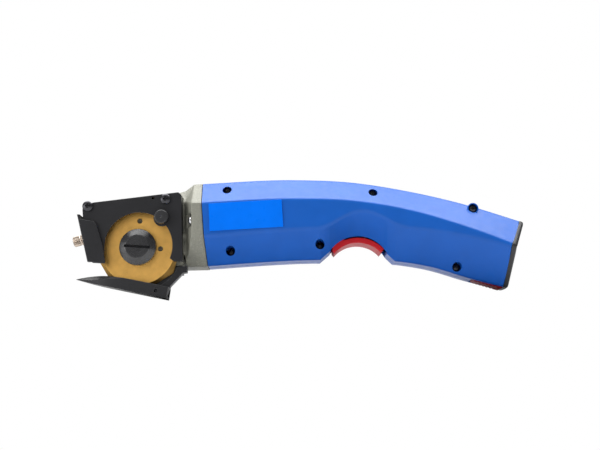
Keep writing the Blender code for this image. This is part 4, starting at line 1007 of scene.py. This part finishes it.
def build_foot():
    """A boat-shaped skid: a flat sole, straight flanks and a low pointed toe."""
    tops = ((-32.4, 26.3), (-29.5, 25.1), (-25.0, 23.5), (-20.0, 22.1), (-14.0, 21.0), (-7.0, 20.45))
    tops += ((0.0, FOOT_TOP), (24.6, FOOT_TOP))
    soles = ((24.6, FOOT_SOLE), (-16.0, FOOT_SOLE), (-22.0, 27.1), (-26.0, 26.9), (-32.4, 26.5))
    halves = ((-32.6, 0.3), (-30.5, 1.5), (-25.8, 3.7), (-19.7, 5.9), (-12.5, 7.6), (-5.5, 8.3))
    halves += ((0, 8.38), (25, 8.38))
    rows = []
    for u in np.concatenate([np.linspace(-32.4, -2, 48), np.linspace(0, 24.4, 12)]):
        top = along(tops, u)
        sole = float(np.interp(u, *np.array(soles[::-1]).T))
        half = along(halves, u)
        ease = min(0.5, (sole - top) * 0.2, half * 0.3)
        share = float(np.clip((-3.0 - u) / 20.0, 0.0, 1.0))
        low, narrow = top + 0.02 + 0.6 * share * (sole - top), half - 0.02 - 0.55 * share * half
        ring = [(-half, low), (-narrow, top), (narrow, top), (half, low)]
        ring += [(half - ease, sole), (ease - half, sole)]
        loop = filleted(ring, (0.01, ease, ease, 0.01, ease, ease), 4, closed=True)
        points = [(foot_point(u, d), y) for y, d in loop]
        rows.append([(x, FOOT_Y + y, z) for (x, z), y in points])
    foot = lofted("sliding_foot", rows)
    heel = [(16.4, FOOT_Y + 9), (24.9, FOOT_Y - 8.6), (40, FOOT_Y - 8.6), (40, FOOT_Y + 9)]
    cut(foot, lofted("heel_trim", [[(x, y, z) for x, y in heel] for z in (-45, -10)]))
    groove = ((5.4, FOOT_Y - 3.4, FOOT_TOP - 4), (30, FOOT_Y + 3.4, 25.7))
    pocket = ((-13.2, FOOT_Y, FOOT_TOP - 4), (-3.8, FOOT_Y + 2.7, 24.6))
    cut(
        foot,
        along_y("blade_slot", BLADE_R + GAP, 0, 0, FOOT_Y - 1.3, FOOT_Y + 1.3, 160),
        foot_box("tongue_groove", *groove),
        foot_box("counter_pocket", *pocket),
        along_y("pin_hole", 1.2, *FOOT_PIN, -26, -2, 24),
    )
    piece(foot, "body", SHEET, "foot", angle=28)
    x, z = FOOT_PIN
    reach = FOOT_HALF - 1.3
    pin = rod("skid_pin", 0.9, (x, FOOT_Y - reach, z), (x, FOOT_Y + reach, z), 24, 0.2)
    piece(pin, "body", SCREW, "foot_pin")
    corners = [foot_point(u, d) for u, d in ((-12.9, 20.4), (-4.1, 20.4), (-4.1, 24.3), (-12.9, 24.3))]
    counter = plate("shear_plate", [corners], FOOT_Y + 1.1, FOOT_Y + 2.4, 0.12)
    piece(counter, "body", CARBIDE, "counter_blade")


def build_arm():
    """A tongue down into the foot, under a flange that two screws hold to the casting."""
    lower = [foot_point(u, d) for u, d in ((24.4, FOOT_TOP - 1.0), (23.6, 25.4), (5.8, 25.4), (5.8, 19.8))]
    inner = arc(0, 0, 18.1, -66, -45, 14)
    outline = [(29.7, -12.3), (29.5, -16.1), (27.2, -16.4)] + lower + inner + [(14.5, -12.3)]
    arm = plate("foot_bracket", [outline], FOOT_Y - 3.1, FOOT_Y + 3.1, 0.3)
    join(arm, box("flange", (18.6, -13.0, -14.9), (24.8, 9.5, -12.35)))
    back = BLADE_FRONT + BLADE_THICKNESS + 0.5
    cut(arm, along_y("blade_relief", BLADE_R + 0.9, 0, 0, -25, back, 160))
    cut(arm, along_y("pin_hole", 1.2, *FOOT_PIN, -20, -8, 24))
    for y in ARM_SCREW_YS:
        cut(arm, rod("hole", HOLE_R, (ARM_SCREW_X, y, -20), (ARM_SCREW_X, y, -10), 30))
        cut(arm, rod("seat", 2.7, (ARM_SCREW_X, y, -20), (ARM_SCREW_X, y, -13.7), 32))
    piece(sealed(arm), "body", SHEET, "foot_arm")


def build_casting():
    """The main casting, softened from its CAD shape, and the turned lid on its far side."""
    housing = soft_cast(cad_copy("head_casting", "gear_housing"), 0.42, 6)
    piece(housing, "body", CAST, "gear_housing", angle=60, weighted=False)
    rim = [(0, 2.0), (14.9, 2.0), (15.6, 1.85), (16.0, 1.45), (16.2, 0.9), (16.2, 0.2), (16.0, 0)]
    spigot = [(9.6, 0), (9.6, -4.2), (7.9, -4.2), (7.9, -0.2), (0, -0.2)]
    cover = lathe("gearbox_lid", rim + spigot, (0, LID_Y, 0), (0, 1, 0), 96)
    for x, z in LID_SCREWS:
        join(cover, rod("lug", 3.4, (x, LID_Y, z), (x, 15.0, z), 40, 0.25))
    for x, z in LID_SCREWS:
        cut(cover, along_y("hole", 1.5, x, z, 10, 20, 24))
    piece(cover, "body", CAST, "gearbox_cover")


# ---- hidden works


def build_works():
    """Inner parts keep their CAD shapes, with broken edges where they are plain blocks."""
    softened = {
        "battery_case": ("battery", BLACK, 0.25, "black_plastic"),
        "terminal_block": ("body", BLACK, 0.4, "black_plastic"),
        "microswitch": ("body", BLACK, 0.3, "black_plastic"),
        "control_board": ("body", BOARD, 0.1, "board_green"),
        "motor_mount": ("body", CAST, 0.3, "cast_aluminium"),
    }
    for node, (body, finish, width, slot) in softened.items():
        made = broken_edges(cad_copy(node + "_part", node), width)
        piece(made, body, finish, node)
    kept = {
        STEEL: (
            "trigger_pin", "motor_shaft", "motor_pinion", "layshaft", "spur_gear", "bevel_pinion",
            "layshaft_front_bearing", "layshaft_rear_bearing", "spindle", "crown_gear",
            "spindle_near_bearing", "spindle_far_bearing",
        ),
        CAN: ("motor",),
        RED: ("switch_plunger",),
        WRAP: ("battery_cell_1", "battery_cell_2", "battery_cell_3"),
    }
    for finish, names in kept.items():
        for name in names:
            node = frame["nodes"][name]
            node.data.materials.clear()
            node.data.materials.append(finish)
    spring = coil("trigger_coil", (PIVOT_X, -2.7, PIVOT_Z), (0, 1, 0), 2.0, 0.3, 5.4, 5.0)
    piece(spring, "body", STEEL, "trigger_spring")


# ---- studio


def blend(tree, share, first, second, output):
    """Gives the output a mix of two shaders."""
    mix = tree.nodes.new("ShaderNodeMixShader")
    for source, socket in zip((share, first.outputs[0], second.outputs[0]), mix.inputs):
        tree.links.new(source, socket)
    tree.links.new(mix.outputs[0], tree.nodes[output].inputs["Surface"])


def pale_paper():
    f = Finish("pale_floor")
    return f.done(f.mottled([FLOOR_GREY] * 3, 60.0, 2.0, 0.98, 1.0), 0.7)


def build_floor():
    """A pale sheet that is clear from below, so that the low camera sees past it."""
    points = [(x, y, 0.0) for x, y in circle(0, 0, FLOOR_R, 96)]
    mesh = bpy.data.meshes.new("floor")
    mesh.from_pydata(points, [], [tuple(range(len(points)))])
    floor = placed("floor", mesh)
    floor.location.z = -FLOOR_DROP
    material = pale_paper()
    tree = material.node_tree
    clear = tree.nodes.new("ShaderNodeBsdfTransparent")
    below = tree.nodes.new("ShaderNodeNewGeometry").outputs["Backfacing"]
    blend(tree, below, tree.nodes["Principled BSDF"], clear, "Material Output")
    mesh.materials.append(material)


def area_light(name, place, aim, size, power):
    light = bpy.data.lights.new(name, "AREA")
    light.shape = "RECTANGLE"
    light.size, light.size_y = size
    light.energy = power
    obj = placed(name, light)
    obj.location = place
    obj.rotation_mode = "QUATERNION"
    obj.rotation_quaternion = (Vector(aim) - Vector(place)).to_track_quat("-Z", "Y")


def build_studio():
    """Soft light all round, a white backdrop that only the camera sees, and three lamps."""
    world = bpy.data.worlds.new("studio")
    bpy.context.scene.world = world
    world.use_nodes = True
    tree = world.node_tree
    background = tree.nodes["Background"]
    background.inputs["Color"].default_value = WHITE
    background.inputs["Strength"].default_value = AMBIENT
    seen = tree.nodes.new("ShaderNodeBackground")
    seen.inputs["Color"].default_value = WHITE
    direct = tree.nodes.new("ShaderNodeLightPath").outputs["Is Camera Ray"]
    blend(tree, direct, background, seen, "World Output")
    for settings in LIGHTS:
        area_light(*settings)


def build_camera():
    """A long-lens view of the knife side from a little below."""
    camera = bpy.data.cameras.new("camera")
    camera.lens = LENS
    obj = placed("camera", camera)
    place = Matrix.Translation(AXIS + Vector(CAMERA_PLACE) * MM)
    roll = Matrix.Rotation(math.radians(ROLL), 4, "Y")
    obj.matrix_world = place @ roll @ Matrix.Rotation(math.radians(TILT), 4, "X")
    camera.clip_start, camera.clip_end = 0.01, 20
    bpy.context.scene.camera = obj
    bpy.context.scene.view_settings.view_transform = "Standard"


build_camera()
build_studio()
build_floor()
build_shells()
build_nameplate()
build_end_cap()
build_latch()
build_trigger()
build_screws()
build_blade()
build_nut()
build_hub()
build_knife_cover()
build_sharpener()
build_guard()
build_thumbscrew()
build_foot()
build_arm()
build_casting()
build_works()
